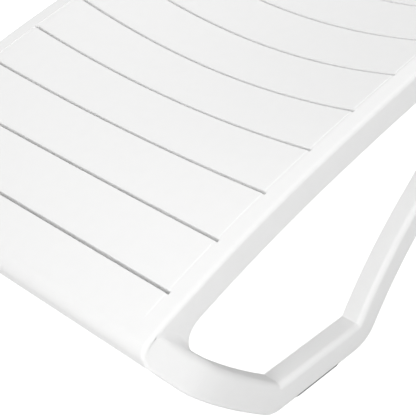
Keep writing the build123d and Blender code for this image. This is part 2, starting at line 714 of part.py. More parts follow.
def head_screw_spot():
    return HEAD_X - HEAD_BAR + SKIN + SCREW_HEAD, REAR_TOP - 2 * SKIN - SCREW_HEAD / 2


def head_hole(side):
    span = (side * (REAR_RAIL_Y - SKIN - 1), side * (REAR_RAIL_Y + 1))
    return rod(*head_screw_spot(), *span, SCREW / 2 + RUN_FIT)


def mean_angle(angle):
    """Mean of the prop's two angles to the rack's line when the backrest is raised by angle."""
    return radians(angle) - asin(PROP_DROP / PROP_LENGTH) + radians(RACK_TILT)


def on_path(u, v):
    """A point u along the foot bar's straight path from the hinge and v above it."""
    a = -radians(RACK_TILT)
    return HINGE_X + u * cos(a) - v * sin(a), HINGE_Z + u * sin(a) + v * cos(a)


def foot_distance(angle):
    """How far the foot bar is from the hinge: both arms of the triangle have one length."""
    return 2 * PROP_LENGTH * cos(mean_angle(angle))


RACK_START = foot_distance(NOTCH_ANGLES[-1]) - RACK_MARGIN
RACK_END = foot_distance(0) + RACK_MARGIN
TOOTH_TOP = -SLEEVE_RADIUS - PATH_CLEAR
PLATE_Y = REAR_RAIL_Y - RACK_PLATE
PLATE_TOP = REAR_TOP - PANEL_SINK - PANEL_SKIRT - SIDE_CLEAR
LEDGE_Y = PLATE_Y - RACK_LEDGE
SLEEVE_Y = (LEDGE_Y + PATH_CLEAR, PLATE_Y - SIDE_CLEAR)
LUG_OUT_Y = (LEDGE_Y - SIDE_CLEAR - LUG_THICKNESS, LEDGE_Y - SIDE_CLEAR)
ARM_Y = (LUG_OUT_Y[0] - SIDE_CLEAR - ARM_THICKNESS, LUG_OUT_Y[0] - SIDE_CLEAR)
LUG_IN_Y = (ARM_Y[0] - SIDE_CLEAR - LUG_THICKNESS, ARM_Y[0] - SIDE_CLEAR)
LUG_Y = (PANEL_Y - 3 * SKIN, PANEL_Y)
PIN_REACH = REAR_RAIL_WIDTH - 2 * SKIN
PIVOT_X = HINGE_X + sqrt(PROP_LENGTH ** 2 - PROP_DROP ** 2)
PIVOT_Z = HINGE_Z - PROP_DROP


def rack_screws():
    """Screw places along the rack's plate, clear of the ribs inside the rail."""
    z = REAR_TOP - RAIL_DEPTH + SCREW_HEAD + 1
    reach = (RACK_END - RACK_START) / 2 - RACK_MARGIN
    middle = HINGE_X + (RACK_START + RACK_END) / 2
    return [(middle - reach, z), (middle, z), (middle + reach, z)]


def rack():
    """A toothed ledge for the foot bar, on a plate screwed to the inner face of the rear rail."""
    points = [(RACK_START, TOOTH_TOP)]
    for angle in reversed(NOTCH_ANGLES):
        u = foot_distance(angle)
        r = SLEEVE_RADIUS
        points += [(u - 2 * r, TOOTH_TOP), (u - r, TOOTH_TOP - TOOTH_DEPTH)]
        points += [(u + r, TOOTH_TOP - TOOTH_DEPTH), (u + r + 1, TOOTH_TOP)]
    bottom = TOOTH_TOP - RACK_BODY
    points += [(RACK_END, TOOTH_TOP), (RACK_END, bottom), (RACK_START, bottom)]
    ledge = wide(polygon([on_path(u, v) for u, v in points], LEDGE_Y), RACK_LEDGE)
    low = [on_path(RACK_START, bottom), on_path(RACK_END, bottom)]
    plate = [low[0], low[1], (low[1][0], PLATE_TOP), (low[0][0], PLATE_TOP)]
    body = ledge + wide(polygon(plate, PLATE_Y), RACK_PLATE)
    holes = []
    for x, z in rack_screws():
        holes.append(rod(x, z, PLATE_Y - 1, REAR_RAIL_Y + 1, SCREW / 2 + RUN_FIT))
        holes.append(rod(x, z, PLATE_Y - 1, PLATE_Y + SCREW_HEAD_HEIGHT, SCREW_HEAD / 2 + RUN_FIT))
    return body - holes


# ---- Backrest and prop, drawn lying flat -------------------------------------------------------------------
def backrest_panel():
    """The slotted, dished backrest with its side bands, hinge lugs and the prop's lugs."""
    x0, z = HINGE_X + PANEL_START, REAR_TOP - PANEL_SINK
    line = Walk(x0, z, 0.0, [(PANEL_LENGTH, 0.0)])
    slots = [PANEL_FIRST_SLOT - PANEL_START + i * SLOT_PITCH for i in range(PANEL_SLOTS)]
    web = PANEL_SLOT_HALF + 1
    side = block(x0, x0 + PANEL_LENGTH, PANEL_SLOT_HALF, PANEL_Y, z - PANEL_SKIRT, z)
    side = fillet(edges_at(side, PANEL_Y, lambda e: e.position_at(0.5).Z > z - PANEL_SKIRT + 1), RAIL_EDGE)
    side -= block(x0, x0 + PANEL_LENGTH, PANEL_SLOT_HALF - 1, web, z - PANEL_SKIRT - 1, z - SKIN)
    ends = (x0 + SKIN, x0 + PANEL_LENGTH - SKIN)
    side -= block(*ends, web + SKIN, PANEL_Y - SKIN, z - PANEL_SKIRT - 1, z - SKIN)
    hinge = rod(HINGE_X, HINGE_Z, *LUG_Y, PIN / 2 + 2 * SKIN)
    root = block(HINGE_X, x0 + 3 * PIN, *LUG_Y, HINGE_Z - PIN / 2 - 2 * SKIN, z - SKIN / 2)
    lugs = []
    for y0, y1 in (LUG_IN_Y, LUG_OUT_Y):
        lugs.append(rod(PIVOT_X, PIVOT_Z, y0, y1, ARM_BOSS))
        lugs.append(block(PIVOT_X - ARM_BOSS, PIVOT_X + ARM_BOSS, y0, y1, PIVOT_Z, z - SKIN / 2))
    half = (side + [hinge, root] + lugs) - rod(HINGE_X, HINGE_Z, *widened(LUG_Y), PIN / 2 + RUN_FIT)
    half -= rod(PIVOT_X, PIVOT_Z, LUG_IN_Y[0] - 1, LUG_OUT_Y[1] + 1, PROP_PIN / 2)
    head_room = (LUG_Y[0] - PIN_HEAD_HEIGHT - 2 * SKIN, LUG_Y[0])
    half -= rod(HINGE_X, HINGE_Z, *head_room, PIN_HEAD / 2 + 1)
    surface = slotted(line, 0, PANEL_LENGTH, slots, PANEL_SLOT_HALF, web + SKIN / 2,
                      lambda s: DECK_STEP, lambda s: PANEL_DISH, PANEL_RIB_DEPTH)
    return surface + [half, flip(half, -1)]


def widened(span):
    return span[0] - 1, span[1] + 1


def foot_bar_spot():
    return on_path(foot_distance(0), 0)


def prop_arm():
    """One flat moulded arm, from its pivot under the backrest to the foot bar."""
    x, z = foot_bar_spot()
    a = atan2(z - PIVOT_Z, x - PIVOT_X)
    across_x, across_z = -sin(a) * ARM_HEIGHT / 2, cos(a) * ARM_HEIGHT / 2
    corners = [(PIVOT_X + across_x, PIVOT_Z + across_z), (x + across_x, z + across_z)]
    corners += [(x - across_x, z - across_z), (PIVOT_X - across_x, PIVOT_Z - across_z)]
    bar = wide(polygon(corners, ARM_Y[0]), ARM_THICKNESS)
    ends = [rod(PIVOT_X, PIVOT_Z, *ARM_Y, ARM_BOSS), rod(x, z, *ARM_Y, ARM_BOSS)]
    pivot = rod(PIVOT_X, PIVOT_Z, *widened(ARM_Y), PROP_PIN / 2 + RUN_FIT)
    return (bar + ends) - [pivot, rod(x, z, *widened(ARM_Y), FOOT_BAR / 2)]


def foot_bar():
    return rod(*foot_bar_spot(), -SLEEVE_Y[1], SLEEVE_Y[1], FOOT_BAR / 2)


def foot_sleeve():
    return ring(*foot_bar_spot(), *SLEEVE_Y, SLEEVE_RADIUS, FOOT_BAR / 2)


def raised(shape, angle):
    """Turns a piece of the backrest about the hinge, up by angle."""
    centre = Pos(HINGE_X, 0, HINGE_Z)
    return centre * Rot(0, -angle, 0) * Pos(-HINGE_X, 0, -HINGE_Z) * shape


def stepped(shape, angle):
    """Turns a piece of the prop about its own pivot by twice the backrest's angle, then raises it."""
    turned = Pos(PIVOT_X, 0, PIVOT_Z) * Rot(0, 2 * angle, 0) * Pos(-PIVOT_X, 0, -PIVOT_Z) * shape
    return raised(turned, angle)


# ---- Pins, wheels and fasteners -------------------------------------------------------------------------------
def hinge_pin():
    head = rod(HINGE_X, HINGE_Z, LUG_Y[0] - PIECE_GAP - PIN_HEAD_HEIGHT, LUG_Y[0] - PIECE_GAP, PIN_HEAD / 2)
    return head + rod(HINGE_X, HINGE_Z, LUG_Y[0] - PIECE_GAP, REAR_RAIL_Y + PIN_REACH, PIN / 2)


def hinge_bush():
    """A nylon washer that keeps the backrest off the rail."""
    return ring(HINGE_X, HINGE_Z, PANEL_Y + PIECE_GAP, REAR_RAIL_Y, PIN_HEAD / 2 + 1, PIN / 2)


def prop_pin():
    head = rod(PIVOT_X, PIVOT_Z, LUG_IN_Y[0] - PIN_HEAD_HEIGHT, LUG_IN_Y[0], PROP_PIN)
    return head + rod(PIVOT_X, PIVOT_Z, LUG_IN_Y[0], LUG_OUT_Y[1], PROP_PIN / 2)


WHEEL_Y = (RAIL_Y - PIN_HEAD_HEIGHT - WHEEL_WIDTH, RAIL_Y - PIN_HEAD_HEIGHT)


def wheel():
    """A spoked hub and rim that turns on the axle."""
    y0, y1 = WHEEL_Y
    rim = WHEEL / 2 - TYRE_WALL
    inset = WHEEL_WIDTH / 6
    pieces = [ring(AXLE_X, AXLE_Z, y0 + inset, y1 - inset, rim, rim - 2 * SKIN)]
    pieces.append(rod(AXLE_X, AXLE_Z, y0 - 1, RAIL_Y - 1, HUB / 2))
    for i in range(WHEEL_SPOKES):
        spoke = block(0, rim - SKIN, y0 + 2 * inset, y1 - 2 * inset, -SKIN, SKIN)
        pieces.append(Pos(AXLE_X, 0, AXLE_Z) * Rot(0, 360 * i / WHEEL_SPOKES, 0) * spoke)
    return (pieces[0] + pieces[1:]) - rod(AXLE_X, AXLE_Z, y0 - 2, RAIL_Y, AXLE / 2 + RUN_FIT)


def tyre():
    y0, y1 = WHEEL_Y
    body = ring(AXLE_X, AXLE_Z, y0, y1, WHEEL / 2, WHEEL / 2 - TYRE_WALL)
    crown = [e for e in body.edges() if e.geom_type == GeomType.CIRCLE and e.radius > WHEEL / 2 - 1]
    return fillet(crown, TYRE_WALL * 0.7)


def axle():
    return rod(AXLE_X, AXLE_Z, -LEG_Y, LEG_Y, AXLE / 2)


def axle_cap():
    body = rod(AXLE_X, AXLE_Z, LEG_Y, LEG_Y + CAP_HEIGHT, CAP / 2)
    rim = [e for e in edges_at(body, LEG_Y + CAP_HEIGHT) if e.geom_type == GeomType.CIRCLE]
    return fillet(rim, CAP_HEIGHT * 0.6)


def axle_clip():
    end = WHEEL_Y[0] - 1 - PIECE_GAP
    return ring(AXLE_X, AXLE_Z, end - CLIP_THICKNESS, end, CLIP / 2, AXLE / 2)


def screw(x, z, y):
    """A pan-head screw that points to +Y, with its head against the face at y."""
    head = rod(x, z, y - SCREW_HEAD_HEIGHT, y, SCREW_HEAD / 2)
    return head + rod(x, z, y, y + SCREW_LENGTH, SCREW / 2)


def both_sides(shapes):
    return Compound([one(flip(shape, side)) for shape in shapes for side in SIDES.values()])


def main():
    os.makedirs("parts", exist_ok=True)
    front, rear = front_screws(), rear_screws()
    nodes = {
        "seat_deck": seat_deck(front),
        "head_bar": head_bar(),
        "backrest_panel": raised(backrest_panel(), REST_ANGLE),
        "foot_bar": stepped(foot_bar(), REST_ANGLE),
        "axle": axle(),
    }
    pairs = {
        "front_leg": leg(FRONT, [past_nose(NOSE_LIP), past_flare()], front),
        "rear_leg": leg(REAR, [past_head(NOSE_LIP)], rear, (AXLE_X, AXLE_Z)),
        "front_foot_pad": foot_pad(FRONT),
        "rear_foot_pad": foot_pad(REAR),
        "rear_rail": rear_rail(rear),
        "rack": rack(),
        "hinge_pin": hinge_pin(),
        "hinge_bush": hinge_bush(),
        "prop_pin": raised(prop_pin(), REST_ANGLE),
        "prop_arm": stepped(prop_arm(), REST_ANGLE),
        "foot_sleeve": stepped(foot_sleeve(), REST_ANGLE),
        "wheel": wheel(),
        "tyre": tyre(),
        "axle_cap": axle_cap(),
        "axle_clip": axle_clip(),
    }
    for name, shape in pairs.items():
        for side_name, side in SIDES.items():
            nodes[name + "_" + side_name] = flip(shape, side)
    inside = RAIL_Y - SKIN
    nodes["leg_screws"] = both_sides([screw(x, z, inside) for x, z in front + rear])
    nodes["splice_screws"] = both_sides([screw(x, z, WEB_Y) for x, z in splice_screws()])
    sunk = PLATE_Y + SCREW_HEAD_HEIGHT
    nodes["rack_screws"] = both_sides([screw(x, z, sunk) for x, z in rack_screws()])
    nodes["head_screws"] = both_sides([screw(*head_screw_spot(), REAR_RAIL_Y - SKIN)])
    for name, shape in nodes.items():
        export_step(place(one(shape)), "parts/" + name + ".step")
    pivot = raised(Pos(PIVOT_X, 0, PIVOT_Z) * Box(1, 1, 1), REST_ANGLE).center()
    axes = {"hinge": (HINGE_X, HINGE_Z), "prop pivot": (pivot.X, pivot.Z), "axle": (AXLE_X, AXLE_Z)}
    for name, (x, z) in axes.items():
        print(name, round(x - LENGTH / 2, 3), round(z, 3))
    print("length", round(LENGTH, 1), "rear top", round(REAR_TOP, 1), "nodes", len(nodes))


main()
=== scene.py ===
# %% [markdown]
# # A reclining sun lounger in moulded resin
# The CAD pack fixes where every piece is and how it moves. This script draws the pieces again as
# clean meshes round the same axes, gives them finishes and lights them on a pale floor. It draws in
# millimetres with the tip of the nose at x = 0; `place` turns that into the frame, in metres.
# The pack's own box is measured first.

# %% Loading the frame and measuring its box
import json
from math import acos, asin, atan2, cos, degrees, hypot, pi, radians, sin, sqrt, tan

import bmesh
import bpy
from mathutils import Matrix, Vector

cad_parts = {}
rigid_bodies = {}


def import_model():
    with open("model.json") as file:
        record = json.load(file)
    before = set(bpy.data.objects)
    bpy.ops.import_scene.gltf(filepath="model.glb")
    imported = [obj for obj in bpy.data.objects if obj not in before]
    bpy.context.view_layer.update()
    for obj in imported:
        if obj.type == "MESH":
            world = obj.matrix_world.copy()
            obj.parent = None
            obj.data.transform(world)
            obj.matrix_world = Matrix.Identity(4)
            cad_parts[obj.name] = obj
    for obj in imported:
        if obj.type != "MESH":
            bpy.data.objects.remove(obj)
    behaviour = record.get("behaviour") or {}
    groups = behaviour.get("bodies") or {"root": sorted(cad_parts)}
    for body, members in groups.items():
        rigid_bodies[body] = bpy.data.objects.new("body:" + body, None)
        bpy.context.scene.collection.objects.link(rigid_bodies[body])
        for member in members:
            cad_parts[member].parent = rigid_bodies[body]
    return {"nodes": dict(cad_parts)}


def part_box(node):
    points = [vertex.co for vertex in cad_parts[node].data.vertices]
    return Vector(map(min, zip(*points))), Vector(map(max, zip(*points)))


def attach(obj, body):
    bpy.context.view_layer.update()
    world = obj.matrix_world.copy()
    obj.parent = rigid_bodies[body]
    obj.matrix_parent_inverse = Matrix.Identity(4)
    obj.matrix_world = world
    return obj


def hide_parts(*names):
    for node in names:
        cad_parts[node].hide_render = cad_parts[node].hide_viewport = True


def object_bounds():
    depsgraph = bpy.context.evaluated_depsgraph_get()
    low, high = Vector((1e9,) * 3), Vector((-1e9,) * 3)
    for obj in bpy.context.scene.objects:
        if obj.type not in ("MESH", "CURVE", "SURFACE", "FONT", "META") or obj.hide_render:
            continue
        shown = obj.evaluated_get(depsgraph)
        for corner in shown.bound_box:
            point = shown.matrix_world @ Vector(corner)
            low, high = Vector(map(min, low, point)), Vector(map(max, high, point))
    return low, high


for thing in list(bpy.data.objects):
    bpy.data.objects.remove(thing)
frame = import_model()
BOUNDS_CAD = [list(corner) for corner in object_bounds()]
print("frame:", len(frame["nodes"]), "nodes,", [[round(v, 3) for v in c] for c in BOUNDS_CAD])

# %% [markdown]
# ## Sizes
# The same sizes as the construction, so the looks sit on the solids. They could all be measured from
# the CAD meshes, but a named wall or pitch is easier to read. The overall length and the axle's place
# are read from the frame, so that the two can't drift apart.

# %% Sizes of the seat, the backrest and the legs
MM = 0.001
SLOT_PITCH, SLOT_WIDTH, SEAT_SLOTS, PANEL_SLOTS = 93.5, 5.0, 12, 7
SLOT_HALF, RAIL_Y, LEG_Y = 280.0, 305.5, 338.0
PANEL_Y, PANEL_SLOT_HALF = 267.0, 235.0
REAR_RAIL_Y = 271.5
SKIN, RIB, FLANGE, PANEL_FLANGE = 4.0, 3.0, 18.0, 16.0
RAIL_DEPTH, RAIL_EDGE, PANEL_SKIRT = 47.5, 6.0, 18.0
NOSE_RADIUS, APRON_LEAN = 24.0, 16.0
NOSE_TO_SLOT, FIRST_SLOT_Z = 62.0, 268.5
KNEE_BEND, HIP_BEND = 260.0, 160.0
RAIL_RUNS = [(NOSE_TO_SLOT + 3 * SLOT_PITCH, 14.1), (4 * SLOT_PITCH, 10.0),
             (KNEE_BEND, -6.5), (HIP_BEND, 0.0)]
FOOT_SLOPE = 23.4
SEAT_DISH, HIP_DISH, DISH_RUN = 42.0, 22.0, 5.3 * SLOT_PITCH
PANEL_DISH, PANEL_START, PANEL_LENGTH, PANEL_SINK, PANEL_FIRST = 20.0, 5.0, 728.0, 2.0, 78.0
HINGE_DROP, HIP_GAP, HEAD_BAR = 22.0, 24.0, 46.0
LEG_WIDTH, LEG_DEPTH, LEG_WALL, LEG_BAY = 32.5, 48.0, 4.0, 62.0
CAP_BEND, CAP_TIP, NOSE_INSET, CAP_INSET, NOSE_LIP = 20.0, 9.0, 7.5, 12.0, 2.0
SOLE_Z = 4.0
REST_ANGLE = 40.0
LENGTH = HEAD_X = (BOUNDS_CAD[1][0] - BOUNDS_CAD[0][0]) / MM
print("length", round(LENGTH, 1), "mm,", SEAT_SLOTS, "slots in the seat and", PANEL_SLOTS, "in the backrest")

# %% [markdown]
# ## The rail in the side view
# From the side the seat is one flowing line that rises from the nose to the knees and sinks again to
# the hip. A spline could draw it, but a moulder's line is made of runs that each turn evenly and meet
# without a kink. `Walk` is such a line, and gives the point and heading at any distance.

# %% A line that turns evenly
def place(x, y, z):
    """A point drawn from the nose in millimetres, in the frame in metres."""
    return Vector(((x - LENGTH / 2) * MM, y * MM, z * MM))


class Walk:
    """A smooth line in the side view: runs joined end to end, each turning evenly."""

    def __init__(self, x, z, heading, runs):
        self.runs, self.length = [], 0.0
        for length, end in runs:
            self.runs.append((self.length, length, x, z, radians(heading), radians(end)))
            x, z = self.follow(self.runs[-1], length)
            self.length += length
            heading = end

    @staticmethod
    def follow(run, distance):
        _, length, x, z, first, last = run
        turn = (last - first) / length
        if abs(turn) < 1e-9:
            return x + distance * cos(first), z + distance * sin(first)
        now = first + turn * distance
        return x + (sin(now) - sin(first)) / turn, z + (cos(first) - cos(now)) / turn

    def run_at(self, s):
        return next((run for run in self.runs if s <= run[0] + run[1]), self.runs[-1])

    def heading(self, s):
        start, length, _, _, first, last = self.run_at(s)
        return first + (last - first) * (s - start) / length

    def at(self, s, drop=0.0):
        """The point (x, z) at distance s, moved square to the line by drop."""
        run = self.run_at(s)
        x, z = self.follow(run, s - run[0])
        return x + drop * sin(self.heading(s)), z - drop * cos(self.heading(s))


quarter = Walk(0, 0, 0, [(100, 90)]).at(100)
print("a quarter turn over 100 mm ends at", [round(v, 1) for v in quarter])

# %% The rail from the nose to the hip
rise = Walk(0, 0, FOOT_SLOPE, RAIL_RUNS).at(NOSE_TO_SLOT)[1]
RAIL = Walk(NOSE_RADIUS * (1 - sin(radians(FOOT_SLOPE))), FIRST_SLOT_Z - rise, FOOT_SLOPE, RAIL_RUNS)
NOSE_X, NOSE_Z = RAIL.at(0, NOSE_RADIUS)
SEAT_END, REAR_TOP = RAIL.at(RAIL.length)
HINGE_X, HINGE_Z = SEAT_END + HIP_GAP, REAR_TOP - HINGE_DROP


def rail_z(x):
    """Height of the rail's top line at x."""
    low, high = 0.0, RAIL.length
    if x >= SEAT_END:
        return REAR_TOP
    for _ in range(40):
        middle = (low + high) / 2
        low, high = (middle, high) if RAIL.at(middle)[0] < x else (low, middle)
    return RAIL.at(low)[1]


print("rail", round(RAIL.length, 1), "hip at x", round(SEAT_END, 2), "z", round(REAR_TOP, 2))

# %% [markdown]
# ## Meshes from rows of points
# Nearly every moulding here is a closed ring of points carried along a line. `loft` joins such rings
# and closes both ends. `mesh_from` turns the faces outwards and keeps an edge sharp only where two
# faces meet at a real corner. Bevelled boxes would be harder to steer.

# %% From points to a mesh
SHARP = radians(38)


def mesh_from(bm, name):
    """A plain mesh with outward faces, smooth but for its real corners."""
    bmesh.ops.recalc_face_normals(bm, faces=bm.faces)
    for face in bm.faces:
        face.smooth = True
    for edge in bm.edges:
        if len(edge.link_faces) == 2 and edge.calc_face_angle(0) > SHARP:
            edge.smooth = False
    mesh = bpy.data.meshes.new(name)
    bm.to_mesh(mesh)
    bm.free()
    return mesh


def linked(name, data):
    """An object in the scene that shows this mesh or curve."""
    thing = bpy.data.objects.new(name, data)
    bpy.context.scene.collection.objects.link(thing)
    return thing


def baked(thing):
    """The object with its modifiers worked into a plain mesh."""
    bpy.context.view_layer.update()
    done = thing.evaluated_get(bpy.context.evaluated_depsgraph_get())
    mesh = bpy.data.meshes.new_from_object(done)
    thing.modifiers.clear()
    old = thing.data
    thing.data = mesh
    if old.users == 0:
        bpy.data.meshes.remove(old)
    mesh.name = thing.name
    return thing


def loft(bm, rings, cap=True):
    """Joins rings of (x, y, z) points, all of one length, and closes the first and the last."""
    rows = [[bm.verts.new(p) for p in ring] for ring in rings]
    for a, b in zip(rows, rows[1:]):
        for i in range(len(a)):
            j = (i + 1) % len(a)
            bm.faces.new((a[i], a[j], b[j], b[i]))
    if cap:
        ends = [bm.faces.new(rows[0]), bm.faces.new(rows[-1][::-1])]
        bmesh.ops.triangulate(bm, faces=ends, ngon_method="EAR_CLIP")
    return rows


def framed(rings):
    """Rings drawn in millimetres, in the frame in metres."""
    return [[place(*p) for p in ring] for ring in rings]


print("sharp from", round(degrees(SHARP)), "degrees")

# %% [markdown]
# ## Joining, mirroring and plates
# Left and right pieces are mirror images, so each is drawn once and flipped. A flat piece such as a
# lug is a plate cut to an outline, its edges eased by a bevel. Mirror and Solidify modifiers could do
# the same, but here the meshes are joined into other pieces at once.

# %% Joining and mirroring
def joined(name, meshes):
    """One mesh out of several closed ones."""
    bm = bmesh.new()
    for mesh in meshes:
        bm.from_mesh(mesh)
        bpy.data.meshes.remove(mesh)
    mesh = bpy.data.meshes.new(name)
    bm.to_mesh(mesh)
    bm.free()
    return mesh


def absorb(thing, meshes):
    """Adds more closed meshes to a piece."""
    bm = bmesh.new()
    for mesh in [thing.data] + meshes:
        bm.from_mesh(mesh)
    bm.to_mesh(thing.data)
    bm.free()
    for mesh in meshes:
        bpy.data.meshes.remove(mesh)


def flipped(mesh, name):
    """The mirror image of a piece, on the other side of the lounger."""
    bm = bmesh.new()
    bm.from_mesh(mesh)
    bmesh.ops.scale(bm, vec=(1, -1, 1), verts=bm.verts)
    bmesh.ops.reverse_faces(bm, faces=bm.faces)
    other = bpy.data.meshes.new(name)
    bm.to_mesh(other)
    bm.free()
    return other


def open_edges(thing):
    """How many edges don't have a face on each side: none on a closed piece."""
    bm = bmesh.new()
    bm.from_mesh(thing.data)
    count = sum(1 for edge in bm.edges if len(edge.link_faces) != 2)
    bm.free()
    return count


print("right pieces are flipped left ones")

# %% Arcs and plates
def arc(cx, cz, radius, start, end, count):
    """Points on a circle in the side view, angles in degrees."""
    angles = [radians(start + (end - start) * i / count) for i in range(count + 1)]
    return [(cx + radius * cos(a), cz + radius * sin(a)) for a in angles]


def along(points, shares):
    """Points at the given shares of a broken line's length."""
    lengths = [0.0]
    for p, q in zip(points, points[1:]):
        lengths.append(lengths[-1] + hypot(q[0] - p[0], q[1] - p[1]))
    found, k = [], 0
    for share in shares:
        target = share * lengths[-1]
        while k < len(points) - 2 and lengths[k + 1] < target:
            k += 1
        t = (target - lengths[k]) / max(1e-9, lengths[k + 1] - lengths[k])
        (x0, z0), (x1, z1) = points[k], points[k + 1]
        found.append((x0 + (x1 - x0) * t, z0 + (z1 - z0) * t))
    return found


EASING_STEPS = 3


def slab(outline, y0, y1, edge=0.0):
    """A closed plate with this outline in the side view, from y0 to y1, its edges rounded."""
    bm = bmesh.new()
    near = [bm.verts.new((x, y0, z)) for x, z in outline]
    far = [bm.verts.new((x, y1, z)) for x, z in outline]
    bm.faces.new(near)
    bm.faces.new(far[::-1])
    for i in range(len(near)):
        j = (i + 1) % len(near)
        bm.faces.new((near[j], near[i], far[i], far[j]))
    bmesh.ops.recalc_face_normals(bm, faces=bm.faces)
    if edge:
        rims = [e for e in bm.edges if len({v.co.y for v in e.verts}) == 1]
        bmesh.ops.bevel(bm, geom=rims, offset=edge, segments=EASING_STEPS, profile=0.5, affect="EDGES",
                        clamp_overlap=True)
    for v in bm.verts:
        v.co = place(*v.co)
    return mesh_from(bm, "slab")


print("edges eased in", EASING_STEPS, "steps")

# %% [markdown]
# ## A short way to write a tree
# What repeats is made by Geometry Nodes: slats, spokes, tread and screws. A tree could be drawn in
# the node editor, but plain calls read from top to bottom. `add` makes a node and wires or sets its
# inputs. A tree's own inputs are set by identifier before the modifier is first evaluated.

# %% A tree with named inputs
class Tree:
    """A Geometry Nodes tree that ends in plain geometry with one material."""

    def __init__(self, name, inputs):
        self.group = bpy.data.node_groups.new(name, "GeometryNodeTree")
        face = self.group.interface
        face.new_socket("Geometry", in_out="OUTPUT", socket_type="NodeSocketGeometry")
        face.new_socket("Geometry", in_out="INPUT", socket_type="NodeSocketGeometry")
        self.keys = {}
        for label, kind in inputs.items():
            socket = face.new_socket(label, in_out="INPUT", socket_type="NodeSocket" + kind)
            self.keys[label] = socket.identifier
        self.given = self.group.nodes.new("NodeGroupInput").outputs

    def add(self, kind, inputs=None, out=0, **settings):
        """A new node with these inputs: values, sockets or lists of sockets. Gives an output."""
        node = self.group.nodes.new(kind)
        for key, value in settings.items():
            setattr(node, key, value)
        for key, value in (inputs or {}).items():
            for item in value if isinstance(value, list) else [value]:
                if isinstance(item, bpy.types.NodeSocket):
                    self.group.links.new(item, node.inputs[key])
                else:
                    node.inputs[key].default_value = item
        return node.outputs[out]

    def math(self, operation, a, b=0.0, c=0.0):
        return self.add("ShaderNodeMath", {0: a, 1: b, 2: c}, operation=operation)

    def vector(self, operation, a, b, out=0):
        return self.add("ShaderNodeVectorMath", {0: a, 1: b}, operation=operation, out=out)

    def finish(self, geometry, material):
        """Ends the tree: the copies become real geometry and take the material."""
        real = self.add("GeometryNodeRealizeInstances", {"Geometry": geometry})
        made = self.add("GeometryNodeSetMaterial", {"Geometry": real, "Material": material})
        end = self.group.nodes.new("NodeGroupOutput")
        self.group.links.new(made, end.inputs[0])
        return self

    def run(self, name, **values):
        """A plain mesh object made by the tree from these inputs."""
        thing = linked(name, bpy.data.meshes.new(name))
        modifier = thing.modifiers.new(name, "NODES")
        for label, value in values.items():
            modifier[self.keys[label.replace("_", " ")]] = value
        modifier.node_group = self.group
        for label, value in values.items():
            modifier[self.keys[label.replace("_", " ")]] = value
        thing = baked(thing)
        print(name, len(thing.data.polygons), "faces from", self.group.name)
        return thing


print("trees ready")

# %% [markdown]
# ## Finishes
# The resin is a satin white with a faint cloudy mottle from moulding. A noise drives its colour and
# roughness slightly and a finer one gives the grain. An image could carry the mottle, but a noise on
# Object coordinates needs no unwrapping and has no seam.

# %% One recipe for every finish
MOTTLE_FROM, MOTTLE_TO = 0.3, 0.7       # the part of the noise that runs from the dark to the light tone
FINER = 18                              # the grain is this many times finer than the mottle
GRAIN_DEPTH = 0.0004


def finish(name, dark, light, rough, scale, grain, metallic=0.0, stretch=(1, 1, 1), sheen=0.5):
    """A material from two tones, a roughness range, the mottle's scale and the strength of the grain."""
    material = bpy.data.materials.new(name)
    material.use_nodes = True
    nodes, links = material.node_tree.nodes, material.node_tree.links
    shader = nodes["Principled BSDF"]
    place_at = nodes.new("ShaderNodeTexCoord")
    mapping = nodes.new("ShaderNodeMapping")
    mapping.inputs["Scale"].default_value = stretch
    links.new(place_at.outputs["Object"], mapping.inputs["Vector"])
    cloud, fine = nodes.new("ShaderNodeTexNoise"), nodes.new("ShaderNodeTexNoise")
    for node, size in ((cloud, scale), (fine, scale * FINER)):
        links.new(mapping.outputs[0], node.inputs["Vector"])
        node.inputs["Scale"].default_value = size
        node.inputs["Detail"].default_value = 5.0
    ramp = nodes.new("ShaderNodeValToRGB")
    for stop, at, tone in zip(ramp.color_ramp.elements, (MOTTLE_FROM, MOTTLE_TO), (dark, light)):
        stop.position = at
        stop.color = (*tone, 1)
    links.new(cloud.outputs["Fac"], ramp.inputs["Fac"])
    links.new(ramp.outputs["Color"], shader.inputs["Base Color"])
    gloss = nodes.new("ShaderNodeMapRange")
    gloss.inputs["To Min"].default_value, gloss.inputs["To Max"].default_value = rough
    links.new(cloud.outputs["Fac"], gloss.inputs["Value"])
    links.new(gloss.outputs[0], shader.inputs["Roughness"])
    bump = nodes.new("ShaderNodeBump")
    bump.inputs["Strength"].default_value = grain
    bump.inputs["Distance"].default_value = GRAIN_DEPTH
    links.new(fine.outputs["Fac"], bump.inputs["Height"])
    links.new(bump.outputs[0], shader.inputs["Normal"])
    shader.inputs["Metallic"].default_value = metallic
    shader.inputs["Specular IOR Level"].default_value = sheen
    return material


print("grain", FINER, "times finer than the mottle")

# %% [markdown]
# ## The lounger's six finishes
# The mouldings are white resin, the wheels' hubs a slightly greyer one. Tyres and foot pads are dark
# rubber; pins, bushes, sleeves and caps are nylon. Screws, axle and foot bar are zinc-plated steel,
# whose mottle is stretched along it. One recipe keeps the six easy to compare.

